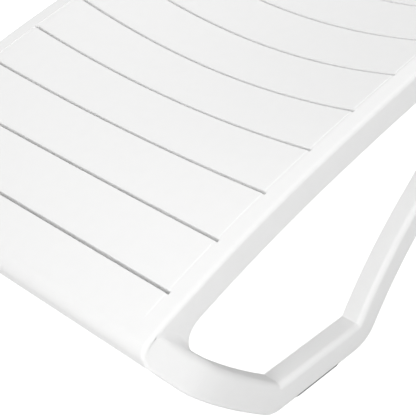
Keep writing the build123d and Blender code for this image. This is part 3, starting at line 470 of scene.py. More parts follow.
# %% White resin, rubber, nylon and zinc
RESIN = finish("white_resin", (0.907, 0.907, 0.904), (0.917, 0.917, 0.914), (0.45, 0.49), 60, 0.04, sheen=0.4)
PAD = finish("grey_pad", (0.05, 0.05, 0.052), (0.09, 0.09, 0.092), (0.75, 0.9), 60, 0.6)
NYLON = finish("grey_nylon", (0.27, 0.28, 0.29), (0.36, 0.37, 0.38), (0.4, 0.55), 40, 0.3)
STEEL = finish("zinc_steel", (0.55, 0.56, 0.57), (0.72, 0.72, 0.71), (0.28, 0.45), 30, 0.3, 1.0, (1, 0.2, 1))
HUB_FINISH = finish("wheel_hub", (0.82, 0.82, 0.815), (0.89, 0.89, 0.885), (0.42, 0.55), 30, 0.3)
TYRE = finish("wheel_tyre", (0.10, 0.10, 0.105), (0.18, 0.18, 0.185), (0.7, 0.9), 50, 0.8)
SLOT_FINISH = {"white_resin": RESIN, "grey_pad": PAD, "grey_nylon": NYLON, "zinc_steel": STEEL,
               "wheel_hub": HUB_FINISH, "wheel_tyre": TYRE}
print("finishes:", ", ".join(SLOT_FINISH))

# %% [markdown]
# ## Handing a piece over
# Every finished piece takes the place of one CAD node, rides on its body and belongs to one slot, its
# finish. Its normals are weighted by area, so that flat faces shade flat beside round edges. More
# rows of faces would do that too, but the weighting costs none.

# %% Settling a piece
def settle(thing, node, body, slot):
    """Puts a finished piece in place of its CAD node: finish, weighted normals, body, slot."""
    thing.data.materials.clear()
    thing.data.materials.append(SLOT_FINISH[slot])
    weigh = thing.modifiers.new("weigh", "WEIGHTED_NORMAL")
    weigh.keep_sharp = True
    thing = baked(thing)
    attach(thing, body)
    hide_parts(node)


print(len(SLOT_FINISH), "slots to settle into")

# %% [markdown]
# ## The edges of a slot
# Each slat has a crisp edge on the foot side of a slot and a soft lip on the head side. A bevel would
# give both the same edge, so the rows of the mesh are lowered one by one instead. A fine groove runs
# along the slots' ends and fades out at the nose.

# %% Lip, crisp edge and groove
LIP, LIP_DROP = 3.4, 1.5    # width and depth of the lip
CRISP = 0.35                # rounding of the crisp edge
UNDERCUT = 0.3              # the slots open out a little below
GROOVE, GROOVE_DEPTH, GROOVE_EASE, GROOVE_FADE = 5.0, 0.8, 1.8, 30.0


def rounded(distance, radius):
    """Depth of a round edge at this distance from the face it meets."""
    if distance >= radius:
        return 0.0
    return radius - sqrt(radius ** 2 - (radius - distance) ** 2)


def blend(t):
    """0 below 0, 1 above 1 and a smooth S between."""
    t = min(1.0, max(0.0, t))
    return t * t * (3 - 2 * t)


print("half across, the lip is", round(LIP_DROP * rounded(0.5, 1.0), 2), "mm down")

# %% [markdown]
# ## One cross-section of a moulding
# Cut across, the seat is a thin skin with a band down each side, a side wall, a channel under the
# band and a web beside the slots. Solidify and separate walls could make it, but one closed ring of
# points has no seams. The backrest has the same section in other sizes, so one class makes both.

# %% The section of a slotted moulding
DECK_SHARES = (0, .125, .25, .375, .5, .62, .73, .82, .89, .94, .97)    # columns, closer near the side


class Moulding:
    """A slotted skin with a band, side wall, channel and web down each side, drawn flat."""

    def __init__(self, half, outer, depth, web, lead, groove_from):
        self.half, self.outer, self.depth, self.web = half, outer, depth, web
        self.lead, self.groove_from = lead, groove_from
        across = [half * share for share in DECK_SHARES]
        across += [half - GROOVE - d for d in (1.6, 0.5, 0.1)] + [half - GROOVE + d for d in (0.4, 1.0)]
        across += [half - 1.2, half]
        self.deck = [-y for y in across[:0:-1]] + across

    def groove(self, s, y):
        """Depth of the groove at this point of the surface."""
        inside = self.half - GROOVE - 0.8
        share = blend((s - self.lead - self.groove_from) / GROOVE_FADE)
        return GROOVE_DEPTH * blend((abs(y) - inside) / GROOVE_EASE) * share

    def rail(self, s):
        """The closed profile of one side, from the top beside the slots to the underside."""
        h, o, e = self.half, self.outer, RAIL_EDGE
        d = self.depth if s >= self.lead + 0.05 else FLANGE
        web = d if s >= self.lead + self.web + 0.05 else SKIN + 0.4
        turns = [pi / 2 * k / 5 for k in range(6)]
        top = [(h + 0.12, 0), (h + 1.6, 0), (h + (o - h) * 0.4, 0), (o - e - 1.5, 0)]
        top += [(o - e + e * sin(a), e - e * cos(a)) for a in turns]
        side = [(o, e + 1.5), (o, e + (d - e) * 0.5), (o, d - 0.5), (o - 0.5, d)]
        inner = o - SKIN
        side += [(inner + 0.5, d), (inner, d - 0.5), (inner, SKIN + 1.5), (inner - 1.5, SKIN)]
        wall = h + 1 + SKIN
        side += [(wall + 1.5, SKIN), (wall, SKIN + 0.2), (wall, web), (h + 1, web), (h + 1, SKIN + 0.2)]
        return top + side

    def ring(self, s, drop=lambda y: 0.0, shift=0.0):
        """One closed section: the top skin, one side, the underside, the other side."""
        top = [(y, self.groove(s, y) + drop(y)) for y in self.deck]
        side = [(y, d + drop(y) * (d < 0.5)) for y, d in self.rail(s)]
        other = [(-y, d) for y, d in side[::-1]]
        under = [((s + shift) * MM, y * MM, -SKIN * MM) for y in self.deck[::-1]]
        return ([(s * MM, y * MM, -d * MM) for y, d in top + side] + under
                + [(s * MM, y * MM, -d * MM) for y, d in other])


print("band", round(RAIL_Y - SLOT_HALF, 1), "mm wide")

# %% [markdown]
# ## A run of sections with slots through it
# A slot is a tunnel through the skin. Boolean cuts leave ragged faces that a bend then shows. Here
# the faces between two rows are left out where the slot is and its four walls are put in, so the mesh
# stays made of clean four-sided faces.

# %% Sections joined, with tunnels for the slots
def segment(moulding, stations, slots=()):
    """Sections at these stations, with a tunnel through the skin at each slot."""
    bm = bmesh.new()
    across, side = len(moulding.deck), len(moulding.rail(stations[0][0]))
    around, last = 2 * (across + side), 2 * across + side - 1
    rows = [[bm.verts.new(p) for p in moulding.ring(*station)] for station in stations]
    for start, end, a, b in zip(stations, stations[1:], rows, rows[1:]):
        gap = any(abs((start[0] + end[0]) / 2 - slot) < SLOT_WIDTH / 2 for slot in slots)
        for i in range(around):
            j = (i + 1) % around
            deck = i < across - 1 or across + side <= i < last
            if not (gap and deck):
                bm.faces.new((a[i], a[j], b[j], b[i]))
        if gap:
            for k in (0, across - 1):
                bm.faces.new((a[k], b[k], b[last - k], a[last - k]))
    for slot in slots:
        for edge in (slot - SLOT_WIDTH / 2, slot + SLOT_WIDTH / 2):
            nearest = min(range(len(stations)), key=lambda q: abs(stations[q][0] - edge))
            row = rows[nearest]
            for i in range(across - 1):
                bm.faces.new((row[i], row[i + 1], row[last - i - 1], row[last - i]))
    return bm, rows


def slot_rows(moulding, slot, back, ahead):
    """Rows about a slot: crisp on the foot side, a soft lip on the head side."""
    half = SLOT_WIDTH / 2

    def within(amount):
        return lambda y: amount if abs(y) < moulding.half - 0.01 else 0.0

    rows = [(slot - back + step * (back - 6) / 4, within(0)) for step in range(5)]
    rows += [(slot - 5.2, within(0)), (slot - half - CRISP, within(0), -UNDERCUT)]
    rows.append((slot - half, within(CRISP), -UNDERCUT))
    for d in (0.0, 0.15, 0.5, 1.1, 1.8, 2.6, LIP):
        opening = UNDERCUT * (1 - 0.6 * d / LIP)
        rows.append((slot + half + d, within(LIP_DROP * rounded(d / LIP, 1.0)), opening))
    return rows + [(slot + 7 + step * (ahead - 7) / 4, within(0)) for step in range(5)]


print("slots", SLOT_WIDTH, "mm wide, every", SLOT_PITCH, "mm")

# %% [markdown]
# ## One slat and the two ends
# The slats repeat, so one is drawn, with half a pitch either side of its slot, and copied later. What
# comes before the first slat and after the last differs, so each end is a run of its own. Its last
# edge is rounded off, as a moulded rim is, and closed with a cap.

# %% Slat, ends and rounded rims
ALONG = 500.0       # a slat is cut from here, where groove and side walls have their full size


def slat_of(moulding):
    """One pitch of the surface about its slot, drawn with the slot at 0."""
    middle = moulding.lead + ALONG
    bm, _ = segment(moulding, slot_rows(moulding, middle, SLOT_PITCH / 2, SLOT_PITCH / 2), [middle])
    for v in bm.verts:
        v.co.x -= middle * MM
    return bm


def end_of(moulding, stations, closed, slots=()):
    """The surface before the first slat or after the last one, closed at one end."""
    bm, rows = segment(moulding, stations, slots)
    face = bm.faces.new(rows[closed])
    bmesh.ops.triangulate(bm, faces=[face], ngon_method="EAR_CLIP")
    return bm


def plain_rows(stations):
    return [(s, lambda y: 0.0) for s in stations]


RIM_RADIUS = 2.0


def edge_rows(end, towards):
    """Rows that round the last edge of a surface at `end`."""
    rows = []
    for a in (0.45, 0.85, 1.2, pi / 2):
        rows.append((end - towards * RIM_RADIUS * (1 - sin(a)), (lambda y, a=a: RIM_RADIUS * (1 - cos(a)))))
    return rows if towards > 0 else rows[::-1]


print("rims rounded by", RIM_RADIUS, "mm")

# %% [markdown]
# ## What is under the skin
# Turned over, the seat shows a wall round every slot and ribs along and across, which let a thin skin
# carry a person. Each is a closed bar or frame sunk up to a millimetre into the skin. They are drawn
# flat, with rows close enough to bend with the surface.

# %% Bars that can be bent
RIB_SHARES = (-0.5, 0.0, 0.5)       # the long ribs' places, as shares of the slots' half length


def box_rows(bm, stations, columns, low, high):
    """A closed bar drawn flat, with rows along it and columns across, so that it can be bent."""
    rings = []
    for s in stations:
        top = [(s * MM, y * MM, -low * MM) for y in columns]
        rings.append(top + [(s * MM, y * MM, -high * MM) for y in columns[::-1]])
    loft(bm, rings)


def long_ribs(bm, moulding, stations, depth):
    for share in RIB_SHARES:
        y = moulding.half * share
        box_rows(bm, stations, [y - RIB / 2, y + RIB / 2], SKIN - 1, depth - 0.2)


def cross_walls(bm, stations, moulding, depth):
    """Walls across the surface that follow the dish."""
    for s in stations:
        box_rows(bm, [s, s + RIB], moulding.deck, SKIN - 1, depth)


def channel_ribs(bm, stations, y0, y1, depth):
    """Ribs across the two channels under the bands."""
    for s in stations:
        for side in (-1, 1):
            box_rows(bm, [s, s + RIB], [side * y0, side * y1], SKIN - 0.5, depth)


print(len(RIB_SHARES), "long ribs,", RIB, "mm thick")

# %% The wall round a slot
def flange(bm, s, moulding, depth):
    """The wall round one slot, under the skin: a closed frame that follows the dish."""
    half, base = moulding.half, SKIN - 1
    inner, outer = SLOT_WIDTH / 2 + UNDERCUT + 0.1, SLOT_WIDTH / 2 + UNDERCUT + RIB
    ys = [y for y in moulding.deck if abs(y) < half * 0.985]
    inside = [-half - 0.1] + ys + [half + 0.1]
    outside = [-half - 2.6] + ys + [half + 2.6]
    count = len(inside)

    def loop(spread, line, d):
        there = [(s - spread, y, d) for y in line]
        return there + [(s + spread, y, d) for y in line[::-1]]

    loops = [loop(inner, inside, base), loop(inner, inside, depth)]
    loops += [loop(outer, outside, depth), loop(outer, outside, base)]
    rows = [[bm.verts.new((x * MM, y * MM, -d * MM)) for x, y, d in one] for one in loops]
    for a, b in zip(rows, rows[1:] + rows[:1]):
        for i in range(2 * count):
            j = (i + 1) % (2 * count)
            bm.faces.new((a[i], b[i], b[j], a[j]))


def under_skin(moulding, slots, depth, spans):
    """The walls round single slots and lengths of the ribs that run along the surface."""
    bm = bmesh.new()
    for slot in slots:
        flange(bm, slot, moulding, depth)
    for start, end in spans:
        count = max(2, int((end - start) / 16))
        long_ribs(bm, moulding, [start + (end - start) * k / count for k in range(count + 1)], depth)
    return bm


def slat_object(name, moulding, depth):
    """The slat with its flange and the ribs that run along the surface."""
    bm = slat_of(moulding)
    flange(bm, 0.0, moulding, depth)
    steps = [SLOT_WIDTH / 2 + 2 + (SLOT_PITCH - SLOT_WIDTH - 4) * k / 5 for k in range(6)]
    long_ribs(bm, moulding, steps, depth)
    return linked(name, mesh_from(bm, name))


print("slot walls", FLANGE, "mm deep in the seat,", PANEL_FLANGE, "in the backrest")

# %% [markdown]
# ## Repeating the slats and bending them
# The seat follows one long path round the nose, over the knees and down to the hip. Array and Curve
# modifiers could follow it, but they turn the section by rules of their own. This tree repeats the
# slat, welds the ends to the row and carries every point onto the path, sinking the middle by the
# dish. So every slot stays square to the surface, as in a mould.

# %% The tree that repeats and bends
def bend_tree():
    """Repeats the slat, welds the ends to the row, and carries it all onto the path."""
    inputs = {"Slat": "Object", "Slots": "Int", "Pitch": "Float", "First": "Float", "Ends": "Object",
              "Extras": "Object", "Path": "Object", "Half width": "Float", "Dish": "Float",
              "Dish from": "Float", "Dish to": "Float", "Ease": "Float", "Ease from": "Float",
              "Ease to": "Float", "Weld": "Float", "Material": "Material"}
    tree = Tree("repeat_and_bend", inputs)
    given = tree.given

    def shape(label):
        return tree.add("GeometryNodeObjectInfo", {"Object": given[label]}, out="Geometry")

    first = tree.add("ShaderNodeCombineXYZ", {"X": given["First"]})
    step = tree.add("ShaderNodeCombineXYZ", {"X": given["Pitch"]})
    spots = {"Count": given["Slots"], "Start Location": first, "Offset": step}
    line = tree.add("GeometryNodeMeshLine", spots)
    copies = tree.add("GeometryNodeInstanceOnPoints", {"Points": line, "Instance": shape("Slat")})
    slats = tree.add("GeometryNodeRealizeInstances", {"Geometry": copies})
    row = tree.add("GeometryNodeJoinGeometry", {0: [shape("Ends"), slats]})
    row = tree.add("GeometryNodeMergeByDistance", {"Geometry": row, "Distance": given["Weld"]})
    row = tree.add("GeometryNodeJoinGeometry", {0: [shape("Extras"), row]})
    spot = tree.add("GeometryNodeInputPosition")
    split = tree.group.nodes.new("ShaderNodeSeparateXYZ")
    tree.group.links.new(spot, split.inputs[0])
    s, y, z = split.outputs
    sample = tree.group.nodes.new("GeometryNodeSampleCurve")
    sample.mode, sample.data_type, sample.use_all_curves = "LENGTH", "FLOAT_VECTOR", True
    tree.group.links.new(shape("Path"), sample.inputs["Curves"])
    tree.group.links.new(s, sample.inputs["Length"])

    def grown(amount, start, end):
        span = {"Value": s, "From Min": given[start], "From Max": given[end]}
        ramp = tree.add("ShaderNodeMapRange", span, interpolation_type="SMOOTHSTEP")
        return tree.math("MULTIPLY", ramp, given[amount])

    dish, ease = grown("Dish", "Dish from", "Dish to"), grown("Ease", "Ease from", "Ease to")
    depth = tree.math("SUBTRACT", dish, ease)
    share = tree.math("DIVIDE", y, given["Half width"])
    bowl = tree.math("SUBTRACT", 1.0, tree.math("MULTIPLY", share, share))
    bowl = tree.math("MAXIMUM", bowl, 0.0)
    lift = tree.math("SUBTRACT", z, tree.math("MULTIPLY", bowl, depth))
    side = tree.add("ShaderNodeCombineXYZ", {"Y": y})
    square = tree.vector("CROSS_PRODUCT", sample.outputs["Tangent"], (0.0, 1.0, 0.0))
    up = tree.vector("NORMALIZE", square, (0, 0, 0))
    lifted = tree.add("ShaderNodeVectorMath", {0: up, "Scale": lift}, operation="SCALE")
    there = tree.vector("ADD", tree.vector("ADD", sample.outputs["Position"], side), lifted)
    bent = tree.add("GeometryNodeSetPosition", {"Geometry": row, "Position": there})
    return tree.finish(bent, given["Material"])


def path_object(name, points):
    """A line in the side view as a curve in the frame."""
    curve = bpy.data.curves.new(name, "CURVE")
    curve.dimensions = "3D"
    spline = curve.splines.new("POLY")
    spline.points.add(len(points) - 1)
    for point, (x, z) in zip(spline.points, points):
        point.co = (*place(x, 0, z), 1)
    return linked(name, curve)


def flat_part(name, meshes):
    return linked(name, joined(name, [mesh_from(bm, name) for bm in meshes]))


BEND = bend_tree()
WELD = 0.00002


def moulded(name, moulding, depth, ends, extras, path, **sizes):
    """A slotted moulding: its slat repeated between its ends and bent along the path."""
    parts = {"Slat": slat_object(name + "_slat", moulding, depth), "Ends": flat_part(name + "_ends", ends),
             "Extras": flat_part(name + "_extras", [extras]), "Path": path}
    made = BEND.run(name, Pitch=SLOT_PITCH * MM, Half_width=moulding.half * MM, Weld=WELD, Material=RESIN,
                    **parts, **sizes)
    print(name, "has", open_edges(made), "open edges")
    for part in parts.values():
        bpy.data.objects.remove(part)
    return made


print("bending tree with", len(BEND.group.nodes), "nodes")

# %% [markdown]
# ## The seat's path
# The apron is the short wall under the nose. The path starts at its foot, goes up it, round the nose
# and on along the rail. A smooth spline would do, but close points make its length exact, and the
# tree measures distance along it.

# %% Apron, nose and rail as one path
APRON_FOOT_Z = 205.5
APRON_STEPS, NOSE_STEPS, RAIL_STEPS = 8, 60, 700
NOSE_ROUND = arc(NOSE_X, NOSE_Z, NOSE_RADIUS, 180 + APRON_LEAN, 90 + FOOT_SLOPE, NOSE_STEPS)
top_x, top_z = NOSE_ROUND[0]
apron_length = (top_z - APRON_FOOT_Z) / cos(radians(APRON_LEAN))
foot_x = top_x + apron_length * sin(radians(APRON_LEAN))
APRON = [(foot_x + (top_x - foot_x) * k / APRON_STEPS,
          APRON_FOOT_Z + (top_z - APRON_FOOT_Z) * k / APRON_STEPS) for k in range(APRON_STEPS)]
LEAD = apron_length + NOSE_RADIUS * radians(90 + APRON_LEAN - FOOT_SLOPE)
rail_points = [RAIL.at(RAIL.length * k / RAIL_STEPS) for k in range(1, RAIL_STEPS + 1)]
SEAT_PATH = path_object("seat_path", APRON + NOSE_ROUND + rail_points)
print("apron and nose take", round(LEAD, 1), "mm of the path")

# %% [markdown]
# ## The seat
# The seat is the biggest moulding. Its ends are drawn first, the nose with the first slot and the hip
# with the last, then the ribs that no slat carries. The tree makes the rest. The dish deepens from
# the first slot on and eases off again past the knees.

# %% The seat's two ends
WEB_FROM, GROOVE_FROM = 31.0, 8.0       # the web and the groove start this far past the nose
seat = Moulding(SLOT_HALF, RAIL_Y, RAIL_DEPTH, WEB_FROM, LEAD, GROOVE_FROM)
HALF_PITCH = SLOT_PITCH / 2
first_slot, seat_end = LEAD + NOSE_TO_SLOT, LEAD + RAIL.length
last_slot = first_slot + (SEAT_SLOTS - 1) * SLOT_PITCH
nose_rows = [LEAD * k / 14 for k in range(15)]
nose_rows += [LEAD + d for d in (0.1, 8, 15, 22, WEB_FROM - 0.1, WEB_FROM + 0.1)]
nose = end_of(seat, plain_rows(nose_rows) + slot_rows(seat, first_slot, 24.0, HALF_PITCH), 0, [first_slot])
hip_rows = slot_rows(seat, last_slot, HALF_PITCH, seat_end - 2 - last_slot) + edge_rows(seat_end, 1)
hip = end_of(seat, hip_rows, -1, [last_slot])
print("nose", len(nose.faces), "and hip", len(hip.faces), "faces")

# %% The seat's own ribs
near = SLOT_WIDTH / 2 + 2       # a long rib ends this far from the middle of a slot
spans = [(LEAD + WEB_FROM, first_slot - near), (first_slot + near, first_slot + SLOT_PITCH - near),
         (last_slot + near, seat_end - 1)]
extras = under_skin(seat, [first_slot, last_slot], FLANGE, spans)
cross_walls(extras, [LEAD + WEB_FROM, seat_end - RIB - 0.2], seat, FLANGE - 0.3)
bays = [LEAD + WEB_FROM + 0.3]
bays += [first_slot + HALF_PITCH + i * SLOT_PITCH for i in range(SEAT_SLOTS - 1)] + [seat_end - 61]
channel_ribs(extras, bays, SLOT_HALF + SKIN, RAIL_Y - SKIN + 0.5, RAIL_DEPTH - 0.4)
print(len(bays), "ribs in each channel")

# %% The seat, repeated and bent
knee = LEAD + RAIL.length - HIP_BEND - KNEE_BEND
seat_deck = moulded(
    "seat_moulding", seat, FLANGE, [nose, hip], extras, SEAT_PATH, Slots=SEAT_SLOTS - 2,
    First=(first_slot + SLOT_PITCH) * MM, Dish=SEAT_DISH * MM, Dish_from=first_slot * MM,
    Dish_to=(first_slot + DISH_RUN) * MM, Ease=(SEAT_DISH - HIP_DISH) * MM, Ease_from=knee * MM,
    Ease_to=seat_end * MM)

# %% [markdown]
# ## The backrest
# The backrest has the same slats on a straight path that leaves the hinge at the resting angle. It
# could be drawn lying flat and turned up, but a finished piece has to sit unturned with its place in
# its mesh, so the path itself is turned. Its dish is at full depth before the path starts.

# %% The backrest's path and rows
PATH_STEPS, ALL_ALONG = 40, -99.0       # a web and a groove from before the first row run all along


def raised(x, z, angle=REST_ANGLE):
    """A point of the flat backrest turned up about the hinge."""
    a, dx, dz = radians(angle), x - HINGE_X, z - HINGE_Z
    return HINGE_X + dx * cos(a) - dz * sin(a), HINGE_Z + dx * sin(a) + dz * cos(a)


flat_x, flat_z = HINGE_X + PANEL_START, REAR_TOP - PANEL_SINK
panel_line = [raised(flat_x + PANEL_LENGTH * k / PATH_STEPS, flat_z) for k in range(-1, PATH_STEPS + 2)]
PANEL_PATH = path_object("panel_path", panel_line)
start = PANEL_LENGTH / PATH_STEPS
panel = Moulding(PANEL_SLOT_HALF, PANEL_Y, PANEL_SKIRT, ALL_ALONG, start, ALL_ALONG)
first_panel = start + PANEL_FIRST - PANEL_START
last_panel = first_panel + (PANEL_SLOTS - 1) * SLOT_PITCH
panel_end = start + PANEL_LENGTH
low_run, high_from = first_panel - HALF_PITCH - start - 2, last_panel + HALF_PITCH
low_rows = edge_rows(start, -1) + plain_rows([start + 2 + low_run * k / 3 for k in (1, 2, 3)])
high_rows = plain_rows([high_from + (panel_end - 2 - high_from) * k / 3 for k in (0, 1, 2)])
low_end = end_of(panel, low_rows, 0)
high_end = end_of(panel, high_rows + edge_rows(panel_end, 1), -1)
print("slots from", round(first_panel, 1), "to", round(last_panel, 1), "mm up the path")

# %% The backrest, repeated and bent
extras = under_skin(panel, [], PANEL_FLANGE, [(start + 1, first_panel - near)])
walls = [start + 0.2, panel_end - RIB - 0.2]
cross_walls(extras, walls, panel, PANEL_FLANGE)
bays = walls + [first_panel + HALF_PITCH + i * SLOT_PITCH for i in range(PANEL_SLOTS)]
channel_ribs(extras, bays, PANEL_SLOT_HALF + SKIN, PANEL_Y - SKIN + 0.5, PANEL_SKIRT - 0.3)
backrest = moulded("backrest", panel, PANEL_FLANGE, [low_end, high_end], extras, PANEL_PATH,
                   Slots=PANEL_SLOTS, First=first_panel * MM, Dish=PANEL_DISH * MM, Dish_from=-1.0,
                   Dish_to=-0.9, Ease=0.0, Ease_from=0.0, Ease_to=1.0)

# %% [markdown]
# ## The line of a loop leg
# A leg is one bar that leaves the rail, bends into the sole and rises again as a strut: two lines
# side by side. A curve with a bevel would give the bar, but not its changing section, so it is rows
# of points too. A limb's last run is found by halving the guess, so that it ends just under the rail.

# %% The inner line of a limb
STRUT, FRONT_RISE, REAR_RISE = (59.5, 42.0, 194.0), (38.0, 48.0, 235.0), (66.0, 60.0, 260.0)
CORNER = 2.0                # inner radius where a limb turns into the sole


def limb(corner_x, towards, rise, inset):
    """The inner line of a limb: up from the sole, then bending level just under the rail's top."""
    first, last, length = rise
    low, high = 1.0, 700.0
    for _ in range(50):
        middle = (low + high) / 2
        runs = [(length, last), (middle, last), (radians(last) * CAP_BEND, 0.0)]
        walk = Walk(0, SOLE_Z + LEG_DEPTH, first, runs)
        x, z = walk.at(walk.length)
        low, high = (middle, high) if z < rail_z(corner_x + towards * x) - inset else (low, middle)
    return walk


def limb_reach(rise, drop):
    """How far sideways a limb gets up to the bend at its top."""
    trial = limb(HEAD_X, 1, rise, CAP_INSET)
    return trial.at(trial.length - radians(rise[1]) * CAP_BEND, drop)[0]


print("the rearmost limb leans out by", round(limb_reach(REAR_RISE, 0), 1), "mm")

# %% [markdown]
# ## Where the front leg leaves the nose
# The front leg swells out of the nose: its outer face starts at the rail's face, slopes out down the
# limb and turns flat. Two solids pushed together would show a hard line, so the width is worked out
# at every point, from how far down the limb and how deep inside the nose's round it lies.

# %% The nose in the side view
APRON_STARTS = 6.0          # the round of the nose turns into the apron this far below its centre


def nose_x(z, inset):
    """Where the round of the nose is, at this height."""
    radius = NOSE_RADIUS - inset
    low = NOSE_Z - APRON_STARTS
    if z < low:
        return NOSE_X - radius + (low - z) * tan(radians(APRON_LEAN)) + 0.8
    return NOSE_X - sqrt(max(0.0, radius ** 2 - (z - NOSE_Z) ** 2))


def nose_depth(x, z):
    """How far a point of the side view lies inside the round of the nose or behind its apron."""
    dx, dz, a = x - NOSE_X, z - NOSE_Z, radians(APRON_LEAN)
    if dx * sin(a) - dz * cos(a) > 0:
        return NOSE_RADIUS + dx * cos(a) + dz * sin(a)
    return NOSE_RADIUS - hypot(dx, dz)


print("the nose's middle is", round(NOSE_Z, 1), "mm high")

# %% The leg's slope out of the nose, and its end
FLARE_ENDS = (66.0, 142.0)  # the oblique face turns into the flat one between these, down the limb
LEG_FOOT_Z = 204.0          # where the leg's lower line ends beside the apron's foot
LEG_SLOPE = LEG_WIDTH / (sum(FLARE_ENDS) / 2)
LIMB_X, LIMB_Z = cos(radians(FRONT_RISE[1])), -sin(radians(FRONT_RISE[1]))


def down_limb(x, z):
    """How far down the front limb a point lies."""
    return (x - 1) * LIMB_X + (z - NOSE_Z) * LIMB_Z


def flare(x, z):
    """How far the front leg stands out of the rail's face, growing down the limb: a slope, then flat."""
    start, end = FLARE_ENDS
    down = down_limb(x, z)
    if down >= end:
        return LEG_WIDTH
    eased = LEG_SLOPE * (down - start) ** 2 / (2 * (end - start)) if down > start else 0.0
    depth = min(RAIL_EDGE, max(0.0, nose_depth(x, z)))
    edge = RAIL_EDGE * (1 - sqrt(1 - (1 - depth / RAIL_EDGE) ** 2)) + (0.12 if depth < RAIL_EDGE else 0.0)
    return max(0.1, LEG_SLOPE * down - eased - edge)


def end_line(t, top):
    """The front leg's end in the side view, from its top to its foot, along the round of the nose."""
    z = top + (LEG_FOOT_Z - top) * t
    inset = 1 + (RAIL_EDGE - 0.5) * (1 - blend((t - 0.2) / 0.42))
    return nose_x(z, inset), z


print("the leg's face slopes", round(degrees(atan2(LEG_SLOPE, 1)), 1), "degrees")

# %% [markdown]
# ## The rows of a leg
# Every row is an inner point, an outer point and whether the channel behind it is open or closed by a
# rib. Square rows would cross where the bar bends, so the sole's corner turns them step by step and
# the bend at the top shares both lines out evenly.

# %% The loop and its limbs
NOSE_LIFT = 2.5                     # the front leg's top rises by this much where it joins the nose
NOSE_LIFT_FROM = (150.0, 210.0)     # and the rise grows between these distances up the limb
NOSE_CAP = 30.0                     # its rows start to turn towards the nose this far before the bend
HOLLOW, HOLLOW_TO, HOLLOW_FADE = 12.0, 55.0, 30.0   # the blend into the rail's side, and where it fades
REAR_RIDGE = 7.0


class Loop:
    """The lines of one loop leg: its limbs by side, -1 towards the foot end and 1 towards the head."""

    def __init__(self, x0, x1, foot_rise, head_rise, foot_inset, flared):
        self.x0, self.x1, self.flared = x0, x1, flared
        self.rise = {-1: foot_rise, 1: head_rise}
        self.walk = {-1: limb(x0, -1, foot_rise, foot_inset), 1: limb(x1, 1, head_rise, CAP_INSET)}
        self.top = self.lines(-1)[0][-1][1]

    def width(self, x, z):
        return flare(x, z) if self.flared else LEG_WIDTH

    def ridge(self, row):
        """Radius along the outer face's upper edge: soft down the front leg, tighter on the strut."""
        x = (row[0][0] + row[1][0]) / 2
        return 9.0 + 4.5 * (1 - blend((x - 120) / 110)) if self.flared else REAR_RIDGE

    def hollow(self, x):
        """How much of the concave blend into the rail's side is left at x: all of it by the nose."""
        return 1 - blend((x - HOLLOW_TO) / HOLLOW_FADE) if self.flared else 0.0

    def bend(self, towards):
        """Distance up a limb to the bend at its top."""
        return self.walk[towards].length - radians(self.rise[towards][1]) * CAP_BEND

    def spot(self, towards, s, drop):
        """A point at distance s up a limb, drop beyond its inner line."""
        x, z = self.walk[towards].at(s, drop)
        return (self.x0 if towards < 0 else self.x1) + towards * x, z

    def inner(self, towards, s):
        """A point of the inner line, with the front leg's rise towards the nose."""
        first, last = NOSE_LIFT_FROM
        lifted = self.flared and towards < 0
        return self.spot(towards, s, -NOSE_LIFT * blend((s - first) / (last - first)) if lifted else 0.0)

    def straight(self, towards):
        """Length of a limb whose rows stay square to it."""
        return self.bend(towards) - LEG_DEPTH - (NOSE_CAP if self.flared and towards < 0 else 0.0)

    def lines(self, towards):
        """The inner line over the bend at the top, and the outer line as far as the bend."""
        start, bend, end = self.straight(towards), self.bend(towards), self.walk[towards].length
        before = [start + 0.1 + (bend - start) * k / 6 for k in range(6)]
        over = [bend + (end - bend) * k / 8 for k in range(9)]
        outer = [self.spot(towards, s, LEG_DEPTH) for s in before + [bend]]
        return [self.inner(towards, s) for s in before + over], outer


print("rear ridge", REAR_RIDGE, "mm round")

# %% Rows up a limb and along the sole
def limb_rows(loop, towards):
    """Rows up a limb as (inner point, outer point, bay open or not), sole first."""
    corner, first = (loop.x0 if towards < 0 else loop.x1), loop.rise[towards][0]
    usable = loop.straight(towards)
    bays = max(1, int(usable // LEG_BAY))
    step, start = usable / bays, CORNER * tan(radians(first) / 2)
    stations = []
    for i in range(bays):
        s0, s1 = i * step + RIB, (i + 1) * step
        stations += [(s0 - 0.05, 0), (s0 + 0.05, 1)] + [(s0 + (s1 - s0) * k / 4, 1) for k in (1, 2, 3)]
        stations += [(s1 - 0.05, 1), (s1 + 0.05, 0)]
    stations = [(max(s, start + 0.5 + 0.01 * i), k) for i, (s, k) in enumerate(stations)]
    rows = []
    for k in range(6):
        a = radians(first) * k / 5
        ends = [(corner + towards * (-start + r * sin(a)), SOLE_Z + LEG_DEPTH + CORNER - r * cos(a))
                for r in (CORNER, CORNER + LEG_DEPTH)]
        rows.append((*ends, 0))
    return rows + [(loop.inner(towards, s), loop.spot(towards, s, LEG_DEPTH), k) for s, k in stations]


def sole_rows(loop):
    """Rows along the sole, between its two corners."""
    count = int((loop.x1 - loop.x0) // LEG_BAY)
    step = (loop.x1 - loop.x0) / count
    low, high = SOLE_Z, SOLE_Z + LEG_DEPTH
    rows = []
    for i in range(count):
        a, b = loop.x0 + i * step + RIB, loop.x0 + (i + 1) * step
        for x, k in ((a - 0.05, 0), (a + 0.05, 1), (a + (b - a) / 2, 1), (b - 0.05, 1), (b + 0.05, 0)):
            rows.append(((x, high), (x, low), k))
    return [row for row in rows if loop.x0 + 2.5 < row[0][0] < loop.x1 - 2.5]


print("bays about", LEG_BAY, "mm long")

# %% [markdown]
# ## How each end of a leg closes
# A strut ends in a pointed tip, level along its top and rounded where its two lines meet. The front
# leg ends along the round of the nose and the rear leg along that of the head end. A Boolean could
# trim them, but here each end is two lines again, which the rows share out evenly.

